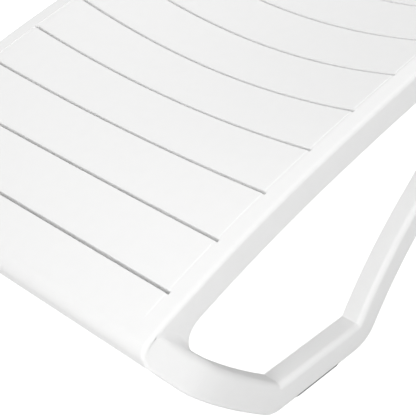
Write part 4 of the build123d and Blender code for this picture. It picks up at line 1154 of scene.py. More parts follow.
# %% The tip, the nose and the head end
def tip(loop, towards):
    """The pointed end of a strut."""
    inner, outer = loop.lines(towards)
    angle = radians(loop.rise[towards][1])
    (_, iz), (ox, oz) = inner[-1], outer[-1]
    tip_x = ox + towards * (iz - oz) / tan(angle)
    cx, cz = tip_x - towards * CAP_TIP / tan(angle / 2), iz - CAP_TIP
    turns = [(pi - angle) * k / 12 for k in range(13)]
    points = [(cx + towards * CAP_TIP * sin(a), cz + CAP_TIP * cos(a)) for a in turns]
    return inner + points[:6], outer + points[12:6:-1], 0.0


def nose_end(loop, towards):
    """The front leg's end along the round of the nose, down to the nose's foot."""
    inner, outer = loop.lines(towards)
    (x, z), a, ahead = outer[0], radians(loop.rise[towards][1]), 22
    turn, foot = (x + towards * ahead * cos(a), z + ahead * sin(a)), end_line(1.0, loop.top)
    curve = []
    for t in [k / 12 for k in range(13)]:
        parts = (1 - t) ** 2, 2 * t * (1 - t), t * t
        curve.append(tuple(parts[0] * p + parts[1] * q + parts[2] * r for p, q, r in zip((x, z), turn, foot)))
    return inner + [end_line(0.0, loop.top)], curve, 1.0


def head_end(loop, towards):
    """The rear leg's end, just inside the round of the head end."""
    inner, outer = loop.lines(towards)
    r, edge = NOSE_RADIUS - NOSE_LIP, HEAD_X - NOSE_LIP
    cx, cz = HEAD_X - NOSE_RADIUS, REAR_TOP - NOSE_RADIUS
    meet = asin(min(1.0, (inner[-1][1] - cz) / r))
    outer = [(min(x, edge), z) for x, z in outer]
    round_head = [(cx + r * cos(a), cz + r * sin(a)) for a in [meet * k / 10 for k in range(11)]]
    return inner + [round_head[-1]], outer + round_head[:-1], 0.0


END_ROWS = 18


def capped(inner, outer, bulge):
    """The rows of an end, shared out evenly along both lines; a bulge bends the last of them."""
    last = 1.0 if bulge else 0.97
    places = [k / END_ROWS * last for k in range(1, END_ROWS + 1)]
    pairs = zip(along(inner, places), along(outer, places), places)
    return [(p, q, 0, bulge * max(0.0, 1 - (1 - share) * 3) ** 1.5) for p, q, share in pairs]


def leg_rows(loop, at_foot, at_head):
    """All the rows of a leg, from its foot-side end to its head-side end."""
    foot, head = capped(*at_foot(loop, -1)), capped(*at_head(loop, 1))
    return foot[::-1] + limb_rows(loop, -1)[::-1] + sole_rows(loop) + limb_rows(loop, 1) + head


print(END_ROWS, "rows an end")

# %% [markdown]
# ## The section of a leg
# Cut across, a leg is a channel open to the inside, with a soft ridge along the upper edge of its
# outer face and a rounded keel along the lower one. Near the nose a hollow leads from the rail's side
# into the ridge. A bevel knows only one radius, so each row becomes a ring with its own.

# %% One ring of a leg
FACE_SHARES = (0.05, 0.2, 0.35, 0.5, 0.65, 0.8, 0.95)      # columns across the outer face


def leg_ring(loop, row):
    """The closed channel section between an inner and an outer point."""
    (ix, iz), (ox, oz), opened = row[:3]
    bulge = row[3] if len(row) > 3 else 0.0
    across = hypot(ox - ix, oz - iz)
    ux, uz = (ox - ix) / across, (oz - iz) / across

    def side_view(w):
        """The point w from the inner line, bent along the nose where the row has a bulge."""
        swell = 0.0
        if bulge:
            t = min(1.0, max(0.0, w / across))
            (top_x, _), (foot_x, _) = end_line(0.0, loop.top), end_line(1.0, loop.top)
            swell = bulge * (end_line(t, loop.top)[0] - top_x - (foot_x - top_x) * t)
        return ix + ux * w + swell, iz + uz * w

    def out(w, less=0.0, share=None):
        """A point of the ring: w from the inner line, less than full width or a share of it."""
        x, z = side_view(w)
        full = loop.width(x, z)
        return x, RAIL_Y + (full * share if share is not None else max(0.02 * full, full - less)), z

    full = loop.width(*side_view(across / 2))
    keel = min(RAIL_EDGE, loop.width(ox, oz) * 0.6, across * 0.3)
    hollow, ridge = max(0.3, HOLLOW * loop.hollow(ix)), min(loop.ridge(row), across * 0.4)
    # Hollow and ridge form an S; where the leg hardly stands out the S is a gentle one.
    turn = acos(max(0.0, 1 - loop.width(ix, iz) / (hollow + ridge)))
    points = []
    for a in [turn * k / 5 for k in range(6)]:
        x, z = side_view(hollow * (sin(a) - sin(turn)))
        points.append((x, RAIL_Y + hollow * (1 - cos(a)), z))
    for a in [turn * (1 - k / 7) for k in range(8)]:
        points.append(out(ridge * (sin(turn) - sin(a)), ridge * (1 - cos(a))))
    first, last = ridge * sin(turn), across - keel
    points += [out(first + (last - first) * k) for k in FACE_SHARES]
    for a in [pi / 2 * k / 5 for k in range(5, -1, -1)]:
        points.append(out(across - keel * (1 - cos(a)), keel * (1 - sin(a))))
    points += [out(across, share=0.25), out(across, share=0.0)]
    wall = min(LEG_WALL, across * 0.25)
    deep = (full - LEG_WALL) / full if opened else min(0.02, 0.2 / full)
    points += [out(across - wall, share=0.0), out(across - wall * 1.2, share=deep)]
    points += [out(wall * 1.2, share=deep), out(wall, share=0.0)]
    return points


def leg_mesh(loop, at_foot, at_head, name):
    bm = bmesh.new()
    loft(bm, framed([leg_ring(loop, row) for row in leg_rows(loop, at_foot, at_head)]))
    return mesh_from(bm, name)


print("legs", LEG_WIDTH, "mm wide")

# %% The two legs
FRONT_SOLE = (225.5, 401.5)
REAR_SOLE_FROM = 45.5       # from the hinge to the rear strut's top
FRONT = Loop(*FRONT_SOLE, FRONT_RISE, STRUT, NOSE_INSET, True)
rear_sole = (HINGE_X + REAR_SOLE_FROM + limb_reach(STRUT, 0), HEAD_X - limb_reach(REAR_RISE, LEG_DEPTH))
REAR = Loop(*rear_sole, STRUT, REAR_RISE, CAP_INSET, False)
front_leg = leg_mesh(FRONT, nose_end, tip, "front_leg")
rear_leg = leg_mesh(REAR, tip, head_end, "rear_leg")
print("legs", len(front_leg.polygons), len(rear_leg.polygons))

# %% [markdown]
# ## The seat's cheeks
# Under the nose the rail's side runs down behind the front leg and rounds off the end of the opening
# between them. A fillet could find that arc, but two lines and a radius give its centre with a little
# geometry, and the plate is cut to the outline in one go.

# %% The side wall under the nose
OPENING_ROUND = 28.0
CHEEK_RAIL, CHEEK_LEG = (30.0, 110.0), (78, 54)     # the stretches that give the two lines' headings
CHEEK_FOOT = (9.1, APRON_FOOT_Z + 0.3)              # where the wall's outline starts, behind the apron


def opening_round():
    """The arc that touches the bottom of the rail and the inner line of the leg."""
    (ax, az), (bx, bz) = [RAIL.at(s, RAIL_DEPTH) for s in CHEEK_RAIL]
    (cx, cz), (dx, dz) = [FRONT.inner(-1, FRONT.bend(-1) - s) for s in CHEEK_LEG]
    rail_turn, leg_turn = atan2(bz - az, bx - ax), atan2(dz - cz, dx - cx)
    t = ((cx - ax) * sin(leg_turn) - (cz - az) * cos(leg_turn)) / sin(leg_turn - rail_turn)
    px, pz = ax + t * cos(rail_turn), az + t * sin(rail_turn)
    opening = (rail_turn - (leg_turn - pi)) / 2
    middle = (rail_turn + leg_turn - pi) / 2
    far = OPENING_ROUND / sin(opening)
    ox, oz = px + far * cos(middle), pz + far * sin(middle)
    return arc(ox, oz, OPENING_ROUND, degrees(rail_turn) + 90, degrees(leg_turn) + 90, 14)


def cheek():
    """One side wall under the nose, with the round end of the opening."""
    touch = [RAIL.at(s, drop) for s, drop in ((15, 6), (31, 7), (45, 20), (90, 24))]
    inner = arc(NOSE_X, NOSE_Z, NOSE_RADIUS - 5, 180 + APRON_LEAN, 90 + FOOT_SLOPE, 10)
    round_end = opening_round()
    line = [CHEEK_FOOT] + inner + touch + round_end + [(round_end[-1][0] - 12, round_end[-1][1] + 4)]
    return slab(line, RAIL_Y - SKIN + 0.1, RAIL_Y - 0.06)


print("opening rounded by", OPENING_ROUND, "mm")

# %% [markdown]
# ## The nose's rounded edge
# The nose's side edge is rounded, and that round runs out onto the oblique face of the leg. A bevel
# can't reach across two pieces, so the edge is a strip of its own that turns from the front face to
# the leg's slope. It starts just inside the nose's face and ends a hair above the leg's, so that no
# crease shows.

# %% A strip from the rail's edge to the leg's face
CORNER_KEEL = 4.0           # the strip's lower end is rounded off over this height
SINK, RISE = 0.15, 0.18     # it starts this far inside the nose and rises by this much onto the leg


def corner():
    """The nose's rounded edge as a closed strip."""
    r, sections = RAIL_EDGE, []
    path = APRON + NOSE_ROUND[::4]
    for i, (x, z) in enumerate(path):
        nx, nz = (NOSE_X - x) / NOSE_RADIUS, (NOSE_Z - z) / NOSE_RADIUS
        if i < len(APRON):
            nx, nz = 1.0, sin(radians(APRON_LEAN)) * i / len(APRON)
        slope = LEG_SLOPE * (nx * LIMB_X + nz * LIMB_Z)
        stand = LEG_SLOPE * down_limb(x, z) + slope * r * 0.8
        share = blend(stand)
        slope, stand = slope * share, (stand + hypot(stand, 0.3)) / 2
        above = max(0.0, 1 - (z - path[0][1]) / CORNER_KEEL)
        stand -= min(stand, CORNER_KEEL * (1 - sqrt(1 - above ** 2)))
        turn, lift = pi / 2 - atan2(slope, 1), -SINK + RISE * share
        edge = RAIL_Y + stand - r * sin(turn) + lift
        base, tail, deep = min(edge, RAIL_Y - r + 1), r + 1.5, r * (1 - cos(turn))
        tilt = 0.12 * max(0.0, 1 - i / len(APRON))
        points = [(1.5, base - 3), (0.5, base - 3), (0.05, base - 1), (-lift, base - 0.01), (-lift, edge)]
        points += [(r * (1 - cos(turn * k / 8)) - lift, edge + r * sin(turn * k / 8)) for k in range(1, 9)]
        points += [(tail, edge + r * sin(turn) + slope * (tail - deep) - 0.1), (tail, RAIL_Y - 2)]
        sections.append([(x + nx * d, y, z + nz * d - tilt * (y - base + 3)) for d, y in points])
    bm = bmesh.new()
    loft(bm, framed(sections))
    return mesh_from(bm, "corner")


left = [cheek(), corner()]
absorb(seat_deck, left + [flipped(mesh, "right_side") for mesh in left])
print("seat", len(seat_deck.data.polygons), "faces")

# %% [markdown]
# ## Sizes of the hardware
# Across the lounger the prop's pieces sit in layers: lug, arm, lug, rack. They could be measured from
# the frame, but each layer's place follows from its neighbour's and a named gap, as in the
# construction, so nothing that turns or slides rubs.

# %% Layers from the rack inwards
LUG_THICKNESS, SIDE_CLEAR, PATH_CLEAR, PIECE_GAP, RUN_FIT = 6.0, 2.0, 0.5, 0.3, 0.1
PIN, PIN_HEAD, PIN_HEAD_HEIGHT, PROP_PIN = 12.0, 20.0, 3.0, 8.0
PROP_LENGTH, PROP_DROP, ARM_THICKNESS, ARM_HEIGHT, ARM_BOSS = 320.0, 14.0, 10.0, 18.0, 11.0
RACK_TILT, RACK_BODY, RACK_MARGIN, RACK_PLATE, RACK_LEDGE, TOOTH_DEPTH = 3.0, 16.0, 26.0, 5.0, 16.5, 5.0
NOTCH_ANGLES = (14.0, 27.0, 40.0, 53.0, 65.0)
FOOT_BAR, SLEEVE_RADIUS = 12.0, 9.0
PLATE_Y = REAR_RAIL_Y - RACK_PLATE
LEDGE_Y = PLATE_Y - RACK_LEDGE
SLEEVE_Y = (LEDGE_Y + PATH_CLEAR, PLATE_Y - SIDE_CLEAR)
LUG_OUT_Y = (LEDGE_Y - SIDE_CLEAR - LUG_THICKNESS, LEDGE_Y - SIDE_CLEAR)
ARM_Y = (LUG_OUT_Y[0] - SIDE_CLEAR - ARM_THICKNESS, LUG_OUT_Y[0] - SIDE_CLEAR)
LUG_IN_Y = (ARM_Y[0] - SIDE_CLEAR - LUG_THICKNESS, ARM_Y[0] - SIDE_CLEAR)
LUG_Y = (PANEL_Y - 3 * SKIN, PANEL_Y)
PIN_END = REAR_RAIL_Y + 26.0
PIVOT = (HINGE_X + sqrt(PROP_LENGTH ** 2 - PROP_DROP ** 2), HINGE_Z - PROP_DROP)
print("prop arms between y", *ARM_Y, "mm")

# %% [markdown]
# ## Turned parts
# Pins, bushes, hubs and caps are turned parts: a profile of radius against y, swept about an axis.
# The Screw modifier would do it too. Here each point of the profile becomes a circle and `loft` joins
# them, since a ring's profile is a closed loop with no caps.

# %% A profile swept about an axis
def turned(profile, at, ring=False, steps=40, lobes=1.0):
    """A turned part from (radius, y) pairs; the first two pairs may be lobed, as a screw's recess."""
    x, z = at
    turns = [2 * pi * k / steps for k in range(steps)]
    circles = []
    for i, (r, y) in enumerate(profile):
        radii = [r * (lobes if i < 2 and k % 2 else 1.0) for k in range(steps)]
        circles.append([(x + q * cos(a), y, z + q * sin(a)) for q, a in zip(radii, turns)])
    bm = bmesh.new()
    rows = loft(bm, framed(circles), cap=not ring)
    if ring:
        for k in range(steps):
            j = (k + 1) % steps
            bm.faces.new((rows[-1][k], rows[-1][j], rows[0][j], rows[0][k]))
    return mesh_from(bm, "turned")


def rod_profile(r, y0, y1, edge=0.8):
    return [(r - edge, y0), (r - edge * 0.3, y0 + edge * 0.3), (r, y0 + edge), (r, y1 - edge),
            (r - edge * 0.3, y1 - edge * 0.3), (r - edge, y1)]


def ring_profile(inner, outer, y0, y1, edge=0.6):
    return [(inner, y0 + edge), (inner, y1 - edge), (inner + edge, y1), (outer - edge, y1),
            (outer - edge * 0.3, y1 - edge * 0.3), (outer, y1 - edge), (outer, y0 + edge),
            (outer - edge * 0.3, y0 + edge * 0.3), (outer - edge, y0), (inner + edge, y0)]


print("ring profile of", len(ring_profile(1.0, 3.0, 0.0, 4.0)), "points")

# %% [markdown]
# ## Bores, sunk faces and pairs
# Where one piece turns in another the bore is cut with an exact Boolean, so that the gap is real. A
# moulded plate is sunk between its rims to keep an even wall, which two insets do. Nearly every piece
# comes as a left and a right one, so a pair is settled in one call.

# %% Cutting bores, sinking faces, settling pairs
def bored(mesh, bores):
    """The piece with round holes (x, z, radius, from y, to y) cut out of it."""
    rods = [turned([(r, y0), (r, y1)], (x, z)) for x, z, r, y0, y1 in bores]
    cutter = linked("cutter", joined("cutter", rods))
    thing = linked("bored", mesh)
    cut = thing.modifiers.new("bore", "BOOLEAN")
    cut.operation, cut.solver, cut.object = "DIFFERENCE", "EXACT", cutter
    done = baked(thing).data
    bm = bmesh.new()
    bm.from_mesh(done)
    bpy.data.objects.remove(thing)
    bpy.data.objects.remove(cutter)
    bmesh.ops.remove_doubles(bm, verts=bm.verts, dist=1e-7)
    return mesh_from(bm, "bored")


RIM_SLOPE = 0.8         # a sunk face's sides lean in by this much


def recessed(mesh, inset, depth):
    """Sinks the two broad faces of a plate, which leaves a rim around each."""
    bm = bmesh.new()
    bm.from_mesh(mesh)
    broad = sorted(bm.faces, key=lambda f: -f.calc_area())[:2]
    bmesh.ops.inset_region(bm, faces=broad, thickness=inset * MM, depth=0, use_even_offset=True)
    bmesh.ops.inset_region(bm, faces=broad, thickness=RIM_SLOPE * MM, depth=-depth * MM, use_even_offset=True)
    bpy.data.meshes.remove(mesh)
    return mesh_from(bm, "recessed")


def pair(node, mesh, body, slot):
    """Settles a piece on the left and its mirror image on the right."""
    print(node, len(mesh.polygons), "faces a side")
    other = flipped(mesh, node + "_right")
    for side, data in (("left", mesh), ("right", other)):
        settle(linked(node + "_" + side + "_look", data), node + "_" + side, body.replace("SIDE", side), slot)


# %% [markdown]
# ## The rear rails
# Behind the hip two open channels carry on to the head end: one section whose cavity is either open
# or closed off by a rib. Booleans could cut the bays, with worse faces. At the head end the top
# rounds down like the nose. A spigot plugs into the seat's own rail, where the splice screws hold it.

# %% Sections of a rear rail, open or closed
RAIL_LOW = REAR_TOP - RAIL_DEPTH
SPIGOT = 52.0


def rear_rail_ring(x, opened):
    over = max(0.0, x - (HEAD_X - NOSE_RADIUS))
    top = REAR_TOP - NOSE_RADIUS + sqrt(max(0.0, NOSE_RADIUS ** 2 - over ** 2))
    roof = top - SKIN if opened else RAIL_LOW + 0.4
    inner, outer, e = REAR_RAIL_Y, RAIL_Y, RAIL_EDGE
    points = [(inner, top - 0.6), (inner + 0.6, top), (inner + 8, top), (outer - e - 1.5, top)]
    points += [(outer - e + e * sin(a), top - e + e * cos(a)) for a in [pi / 12 * k for k in range(7)]]
    points += [(outer, RAIL_LOW + 0.6), (outer - 0.6, RAIL_LOW), (outer - SKIN + 0.4, RAIL_LOW)]
    points += [(outer - SKIN, roof), (inner + SKIN, roof), (inner + SKIN - 0.4, RAIL_LOW)]
    points += [(inner + 0.6, RAIL_LOW), (inner, RAIL_LOW + 0.6)]
    return [(x, y, z) for y, z in points]


def stations_with(bays, extra):
    """Every station once, each with whether it lies in an open bay."""
    edges = {round(v, 3) for a, b in bays for v in (a - 0.05, a + 0.05, b - 0.05, b + 0.05)}
    return [(v, any(a < v < b for a, b in bays)) for v in sorted(edges | set(extra))]


def rear_rail():
    first, last = HINGE_X + PIN + SKIN, HEAD_X - SKIN
    count = int((last - first) // SLOT_PITCH)
    step = (last - first) / count
    bays = [(first + i * step + RIB, first + (i + 1) * step) for i in range(count)]
    head = [HEAD_X - NOSE_RADIUS * (1 - sin(pi / 2 * k / 12)) for k in range(13)]
    bm = bmesh.new()
    loft(bm, framed([rear_rail_ring(x, k) for x, k in stations_with(bays, [SEAT_END + 0.05] + head)]))
    low, high = RAIL_LOW + SKIN, REAR_TOP - SKIN - PIECE_GAP
    spigot = [(SEAT_END - SPIGOT, low), (SEAT_END + 1, low), (SEAT_END + 1, high), (SEAT_END - SPIGOT, high)]
    plug = slab(spigot, SLOT_HALF + 1 + SKIN + PIECE_GAP, RAIL_Y - SKIN - PIECE_GAP, 1.0)
    return joined("rear_rail_left", [mesh_from(bm, "rail"), plug])


pair("rear_rail", rear_rail(), "frame", "white_resin")

# %% [markdown]
# ## The head bar
# The head bar ties the rear rails together and is the same idea turned across the lounger: a channel
# with three ribs, whose top rounds down at the head end. So it is lofted too, along y.

# %% Sections of the head bar
def head_bar_ring(y, opened):
    x0, x1, r, low, top = HEAD_X - HEAD_BAR, HEAD_X, NOSE_RADIUS, RAIL_LOW, REAR_TOP
    points = [(x0 + 0.6, low), (x0, low + 0.6), (x0, top - 1.5), (x0 + 0.45, top - 0.45), (x0 + 1.5, top)]
    points += arc(x1 - r, top - r, r, 90, 0, 10) + [(x1, low + 0.6), (x1 - 0.6, low)]
    inner = [(x1 - SKIN, top - r)] + arc(x1 - r, top - r, r - SKIN, 20, 90, 6) + [(x0 + SKIN, top - SKIN)]
    points.append((x1 - SKIN + 0.4, low))
    points += [(x, z if opened else low + 0.4) for x, z in inner]
    points.append((x0 + SKIN - 0.4, low))
    return [(x, y, z) for x, z in points]


def head_bar():
    y = REAR_RAIL_Y
    ribs = [wall + side * RIB / 2 for wall in (-y / 2, 0.0, y / 2) for side in (-1, 1)]
    ends = [-y + SKIN] + ribs + [y - SKIN]
    bays = list(zip(ends[::2], ends[1::2]))
    print("head bar with", len(bays), "bays")
    bm = bmesh.new()
    loft(bm, framed([head_bar_ring(v, k) for v, k in stations_with(bays, [-y, y])]))
    return mesh_from(bm, "head_bar_look")


settle(linked("head_bar_look", head_bar()), "head_bar", "frame", "white_resin")

# %% [markdown]
# ## The racks
# A rack is a toothed ledge on a plate that is screwed to the rear rail. Each notch is a ramp and a
# seat that stops the foot bar at one angle of the backrest. The seats aren't placed by eye: prop and
# backrest make a triangle, and the notch lies at its third corner.

# %% Where the notches lie
def on_path(u, v):
    """A point u from the hinge along the foot bar's path, v above it."""
    a = -radians(RACK_TILT)
    return HINGE_X + u * cos(a) - v * sin(a), HINGE_Z + u * sin(a) + v * cos(a)


def foot_distance(angle):
    """How far the foot bar is from the hinge with the backrest at this angle."""
    return 2 * PROP_LENGTH * cos(radians(angle) - asin(PROP_DROP / PROP_LENGTH) + radians(RACK_TILT))


SCREW_HEAD, SCREW_HEAD_HEIGHT = 10.0, 3.5
RACK_START, RACK_END = foot_distance(NOTCH_ANGLES[-1]) - RACK_MARGIN, foot_distance(0) + RACK_MARGIN
RACK_REACH = (RACK_END - RACK_START) / 2 - RACK_MARGIN
RACK_Z = RAIL_LOW + 11.0
RACK_PLACES = [(HINGE_X + (RACK_START + RACK_END) / 2 + k * RACK_REACH, RACK_Z) for k in (-1, 0, 1)]
print("notches at", [round(foot_distance(angle), 1) for angle in NOTCH_ANGLES])

# %% The ledge with its teeth, and the plate
def tooth_line():
    """The ledge's outline: ramps and seats along the top, plain below."""
    crest, r = -SLEEVE_RADIUS - PATH_CLEAR, SLEEVE_RADIUS
    foot, seat_low = crest - RACK_BODY, crest - TOOTH_DEPTH
    points = [(RACK_START + 1.5, crest)]
    for angle in reversed(NOTCH_ANGLES):
        u = foot_distance(angle)
        points += [(u - 2 * r, crest), (u - 1.3 * r, crest - 0.3 * TOOTH_DEPTH), (u - r, seat_low)]
        points += [(u + r - 1, seat_low), (u + r, seat_low + 1)]
        points += [(u + r + 0.6, crest - 0.5), (u + r + 1.4, crest)]
    points += [(RACK_END - 1.5, crest), (RACK_END, crest - 1.5), (RACK_END, foot + 3), (RACK_END - 3, foot)]
    points += [(RACK_START + 3, foot), (RACK_START, foot + 3), (RACK_START, crest - 1.5)]
    return [on_path(u, v) for u, v in points], foot


def rack():
    outline, foot = tooth_line()
    ledge = slab(outline, LEDGE_Y, PLATE_Y + 0.6, 0.5)
    (x0, z0), (x1, z1) = on_path(RACK_START, foot), on_path(RACK_END, foot)
    top, cut = REAR_TOP - PANEL_SINK - PANEL_SKIRT - SIDE_CLEAR, 4
    corners = [(x0 + cut, z0), (x1 - cut, z1), (x1, z1 + cut), (x1, top - cut), (x1 - cut, top)]
    corners += [(x0 + cut, top), (x0, top - cut), (x0, z0 + cut)]
    plate = slab(corners, PLATE_Y, REAR_RAIL_Y, 0.5)
    sunk = [(x, z, SCREW_HEAD / 2 + 0.1, PLATE_Y - 1, PLATE_Y + SCREW_HEAD_HEIGHT) for x, z in RACK_PLACES]
    return joined("rack_left", [ledge, bored(plate, sunk)])


pair("rack", rack(), "frame", "white_resin")

# %% [markdown]
# ## The backrest's lugs
# Lugs are the ears under the backrest that the pins go through: one at each hinge, and two a side
# with a prop arm between them. They belong to the backrest's moulding, so they are drawn flat, turned
# up with it and added to its mesh instead of being pieces of their own.

# %% Hinge lugs and prop lugs
LUG_RADIUS, LUG_CHAMFER = 14.0, 8.0


def lug(outline, span):
    return slab([raised(x, z) for x, z in outline], *span, 0.8)


def hinge_lug():
    top, low = HINGE_Z + HINGE_DROP - PANEL_SINK - SKIN / 2, HINGE_Z - LUG_RADIUS
    end = HINGE_X + PANEL_START + 3 * PIN
    outline = arc(HINGE_X, HINGE_Z, LUG_RADIUS, 270, 110, 14)
    outline += [(HINGE_X + 1, top), (end, top), (end, low + LUG_CHAMFER), (end - LUG_CHAMFER, low)]
    bore = (*raised(HINGE_X, HINGE_Z), PIN / 2 + RUN_FIT, LUG_Y[0] - 1, LUG_Y[1] + 1)
    return bored(lug(outline, LUG_Y), [bore])


def prop_lugs():
    (x, z), top = PIVOT, REAR_TOP - PANEL_SINK - SKIN / 2
    outline = [(x - ARM_BOSS, top)] + arc(x, z, ARM_BOSS, 180, 360, 16) + [(x + ARM_BOSS, top)]
    return [lug(outline, span) for span in (LUG_IN_Y, LUG_OUT_Y)]


lugs = [hinge_lug()] + prop_lugs()
absorb(backrest, lugs + [flipped(mesh, "lug") for mesh in lugs])
print("with its lugs", len(backrest.data.polygons), "faces")

# %% [markdown]
# ## Pins and bushes
# A pin is a nylon stud with a domed head. The hinge pins turn in the lugs' bores and pass through a
# bush that keeps the backrest off the rail. The prop pins hold the arms between their lugs. One
# profile serves both, with its sizes given.

# %% Domed pins and plain rings
LIFTED_PIVOT = raised(*PIVOT)


def domed_pin(at, head, shank, seat, end, height):
    """A pin with a domed head whose flat side rests at y = seat."""
    profile = [(head * 0.35, seat - height), (head * 0.8, seat - height * 0.82), (head, seat - height * 0.35),
               (head, seat), (shank, seat), (shank, end - 0.8), (shank - 0.8, end)]
    return turned(profile, at)


hinge = (HINGE_X, HINGE_Z)
hinge_pin = domed_pin(hinge, PIN_HEAD / 2, PIN / 2, LUG_Y[0] - PIECE_GAP, PIN_END, PIN_HEAD_HEIGHT)
bush = turned(ring_profile(PIN / 2, PIN_HEAD / 2 + 1, PANEL_Y + PIECE_GAP, REAR_RAIL_Y), hinge, ring=True)
prop_pin = domed_pin(LIFTED_PIVOT, PROP_PIN, PROP_PIN / 2, LUG_IN_Y[0], LUG_OUT_Y[1], PIN_HEAD_HEIGHT)
pair("hinge_pin", hinge_pin, "frame", "grey_nylon")
pair("hinge_bush", bush, "frame", "grey_nylon")
pair("prop_pin", prop_pin, "backrest", "grey_nylon")

# %% [markdown]
# ## The prop
# The prop holds the backrest up: two arms hang from its lugs and a steel bar joins their feet. Each
# arm is a plate with a sunk face, which keeps an even wall all along it, and a boss at each end.
# Nylon sleeves on the bar slide over the teeth of the racks and drop into a notch.

# %% The arms
FOOT_AT = on_path(foot_distance(REST_ANGLE), 0)
PROP_BORE = PROP_PIN / 2 + RUN_FIT + 0.1


def prop_arm():
    (x0, z0), (x1, z1) = LIFTED_PIVOT, FOOT_AT
    a = degrees(atan2(z1 - z0, x1 - x0))
    turn = degrees(acos(ARM_HEIGHT / 2 / ARM_BOSS))
    outline = arc(x0, z0, ARM_BOSS, a + 90 - turn, a + 270 + turn, 22)
    outline += arc(x1, z1, ARM_BOSS, a - 90 - turn, a + 90 + turn, 22)
    arm = recessed(slab(outline, *ARM_Y, 1.0), 3.0, 2.0)
    bosses = [turned(ring_profile(PROP_BORE, 8.0, *ARM_Y), (x0, z0), ring=True)]
    bosses.append(turned(ring_profile(FOOT_BAR / 2, 9.5, *ARM_Y), (x1, z1), ring=True))
    arm = bored(arm, [(x0, z0, PROP_BORE, ARM_Y[0] - 1, ARM_Y[1] + 1)])
    return joined("prop_arm_left", [arm] + bosses)


pair("prop_arm", prop_arm(), "prop", "white_resin")

# %% The foot bar and its sleeves
bar = turned(rod_profile(FOOT_BAR / 2, -SLEEVE_Y[1], SLEEVE_Y[1], 1.2), FOOT_AT)
settle(linked("foot_bar_look", bar), "foot_bar", "prop", "zinc_steel")
sleeve = turned(ring_profile(FOOT_BAR / 2, SLEEVE_RADIUS, *SLEEVE_Y, 1.0), FOOT_AT, ring=True)
pair("foot_sleeve", sleeve, "prop", "grey_nylon")

# %% [markdown]
# ## Copies round an axle
# A wheel's spokes and a tyre's tread repeat round the axle. Copying by hand would fix their number,
# so one Geometry Nodes tree turns any number of copies of one piece about the axle's line.

# %% The tree that turns copies
WHEEL, TYRE_WALL, WHEEL_WIDTH, WHEEL_SPOKES, HUB = 140.0, 9.0, 34.0, 6, 30.0
AXLE, TREAD = 12.0, 44
WHEEL_Y = (RAIL_Y - PIN_HEAD_HEIGHT - WHEEL_WIDTH, RAIL_Y - PIN_HEAD_HEIGHT)
AXLE_AT = (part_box("axle")[0][0] / MM + LENGTH / 2 + AXLE / 2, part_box("axle")[0][2] / MM + AXLE / 2)
RIM = WHEEL / 2 - TYRE_WALL


def turning_tree():
    inputs = {"Piece": "Object", "Copies": "Int", "Centre": "Vector", "Material": "Material"}
    tree = Tree("copies_round_an_axle", inputs)
    given = tree.given
    points = tree.add("GeometryNodePoints", {"Count": given["Copies"]})
    step = tree.math("DIVIDE", 2 * pi, given["Copies"])
    angle = tree.math("MULTIPLY", tree.add("GeometryNodeInputIndex"), step)
    turn = tree.add("ShaderNodeCombineXYZ", {"Y": angle})
    piece = tree.add("GeometryNodeObjectInfo", {"Object": given["Piece"]}, out="Geometry")
    spread = {"Points": points, "Instance": piece, "Rotation": turn}
    copies = tree.add("GeometryNodeInstanceOnPoints", spread)
    moved = tree.add("GeometryNodeTransform", {"Geometry": copies, "Translation": given["Centre"]})
    return tree.finish(moved, given["Material"])


print("axle at x", round(AXLE_AT[0], 1), "z", round(AXLE_AT[1], 1))

# %% [markdown]
# ## One spoke and one tread block
# A spoke is narrow in the middle and widens into the hub and the rim, where a moulding needs most
# material. A tread block is a shallow arrow head that lies across the crown of the tyre. Both are
# lofted about the origin, and the tree puts the copies on the axle.

# %% Drawing them once
SPOKE_EDGE = 1.2


def loft_object(name, rings):
    """An object lofted about the origin from rings in millimetres."""
    bm = bmesh.new()
    loft(bm, [[Vector(p) * MM for p in ring] for ring in rings])
    return linked(name, mesh_from(bm, name))


def spoke():
    """One spoke along +X from the axis, with rounded edges."""
    y0, y1, e = WHEEL_Y[0] + WHEEL_WIDTH / 3, WHEEL_Y[1] - WHEEL_WIDTH / 3, SPOKE_EDGE
    rings = []
    for r, half in [(11, 6.5), (15, 5.0), (20, 4.1), (30, 3.8), (42, 4.1), (50, 5.2), (56, 8.0)]:
        rings.append([(r, y0 + e, -half), (r, y1 - e, -half), (r, y1, -half + e), (r, y1, half - e),
                      (r, y1 - e, half), (r, y0 + e, half), (r, y0, half - e), (r, y0, -half + e)])
    return loft_object("spoke", rings)


def tread_block():
    """One raised block across the crown."""
    y0, y1, r0, r1 = WHEEL_Y[0] + 5, WHEEL_Y[1] - 5, WHEEL / 2 - 2.2, WHEEL / 2 - 0.02
    wide, sweep, slant = radians(360 / TREAD) * 0.27, radians(360 / TREAD) * 0.5, 0.006
    rings = []
    for k in range(5):
        y, lean = y0 + (y1 - y0) * k / 4, sweep * abs(k / 2 - 1)
        top = r1 - 0.5 * (k in (0, 4))
        corners = [(r0, -wide), (r0, wide), (top - 0.3, wide), (top, wide - slant), (top, -wide + slant)]
        corners.append((top - 0.3, -wide))
        rings.append([(r * cos(a + lean), y, r * sin(a + lean)) for r, a in corners])
    return loft_object("tread_block", rings)


def taken(thing):
    """The mesh of an object that is no longer needed."""
    mesh = thing.data
    bpy.data.objects.remove(thing)
    return mesh


turning = turning_tree()
centre = place(AXLE_AT[0], 0, AXLE_AT[1])
one_spoke, one_block = spoke(), tread_block()
turned_round = turning.run("spokes", Piece=one_spoke, Copies=WHEEL_SPOKES, Centre=centre, Material=HUB_FINISH)
spokes = taken(turned_round)
tread = taken(turning.run("tread", Piece=one_block, Copies=TREAD, Centre=centre, Material=TYRE))
for thing in (one_spoke, one_block):
    bpy.data.meshes.remove(taken(thing))

# %% [markdown]
# ## Wheels and tyres
# Rim, hub and tyre are rings, each turned from its own profile. A torus would make a rounder tyre,
# but this one is flat across the tread with shoulders rounded in three steps. A wheel and its tyre
# turn together, so both ride on the wheel's body.

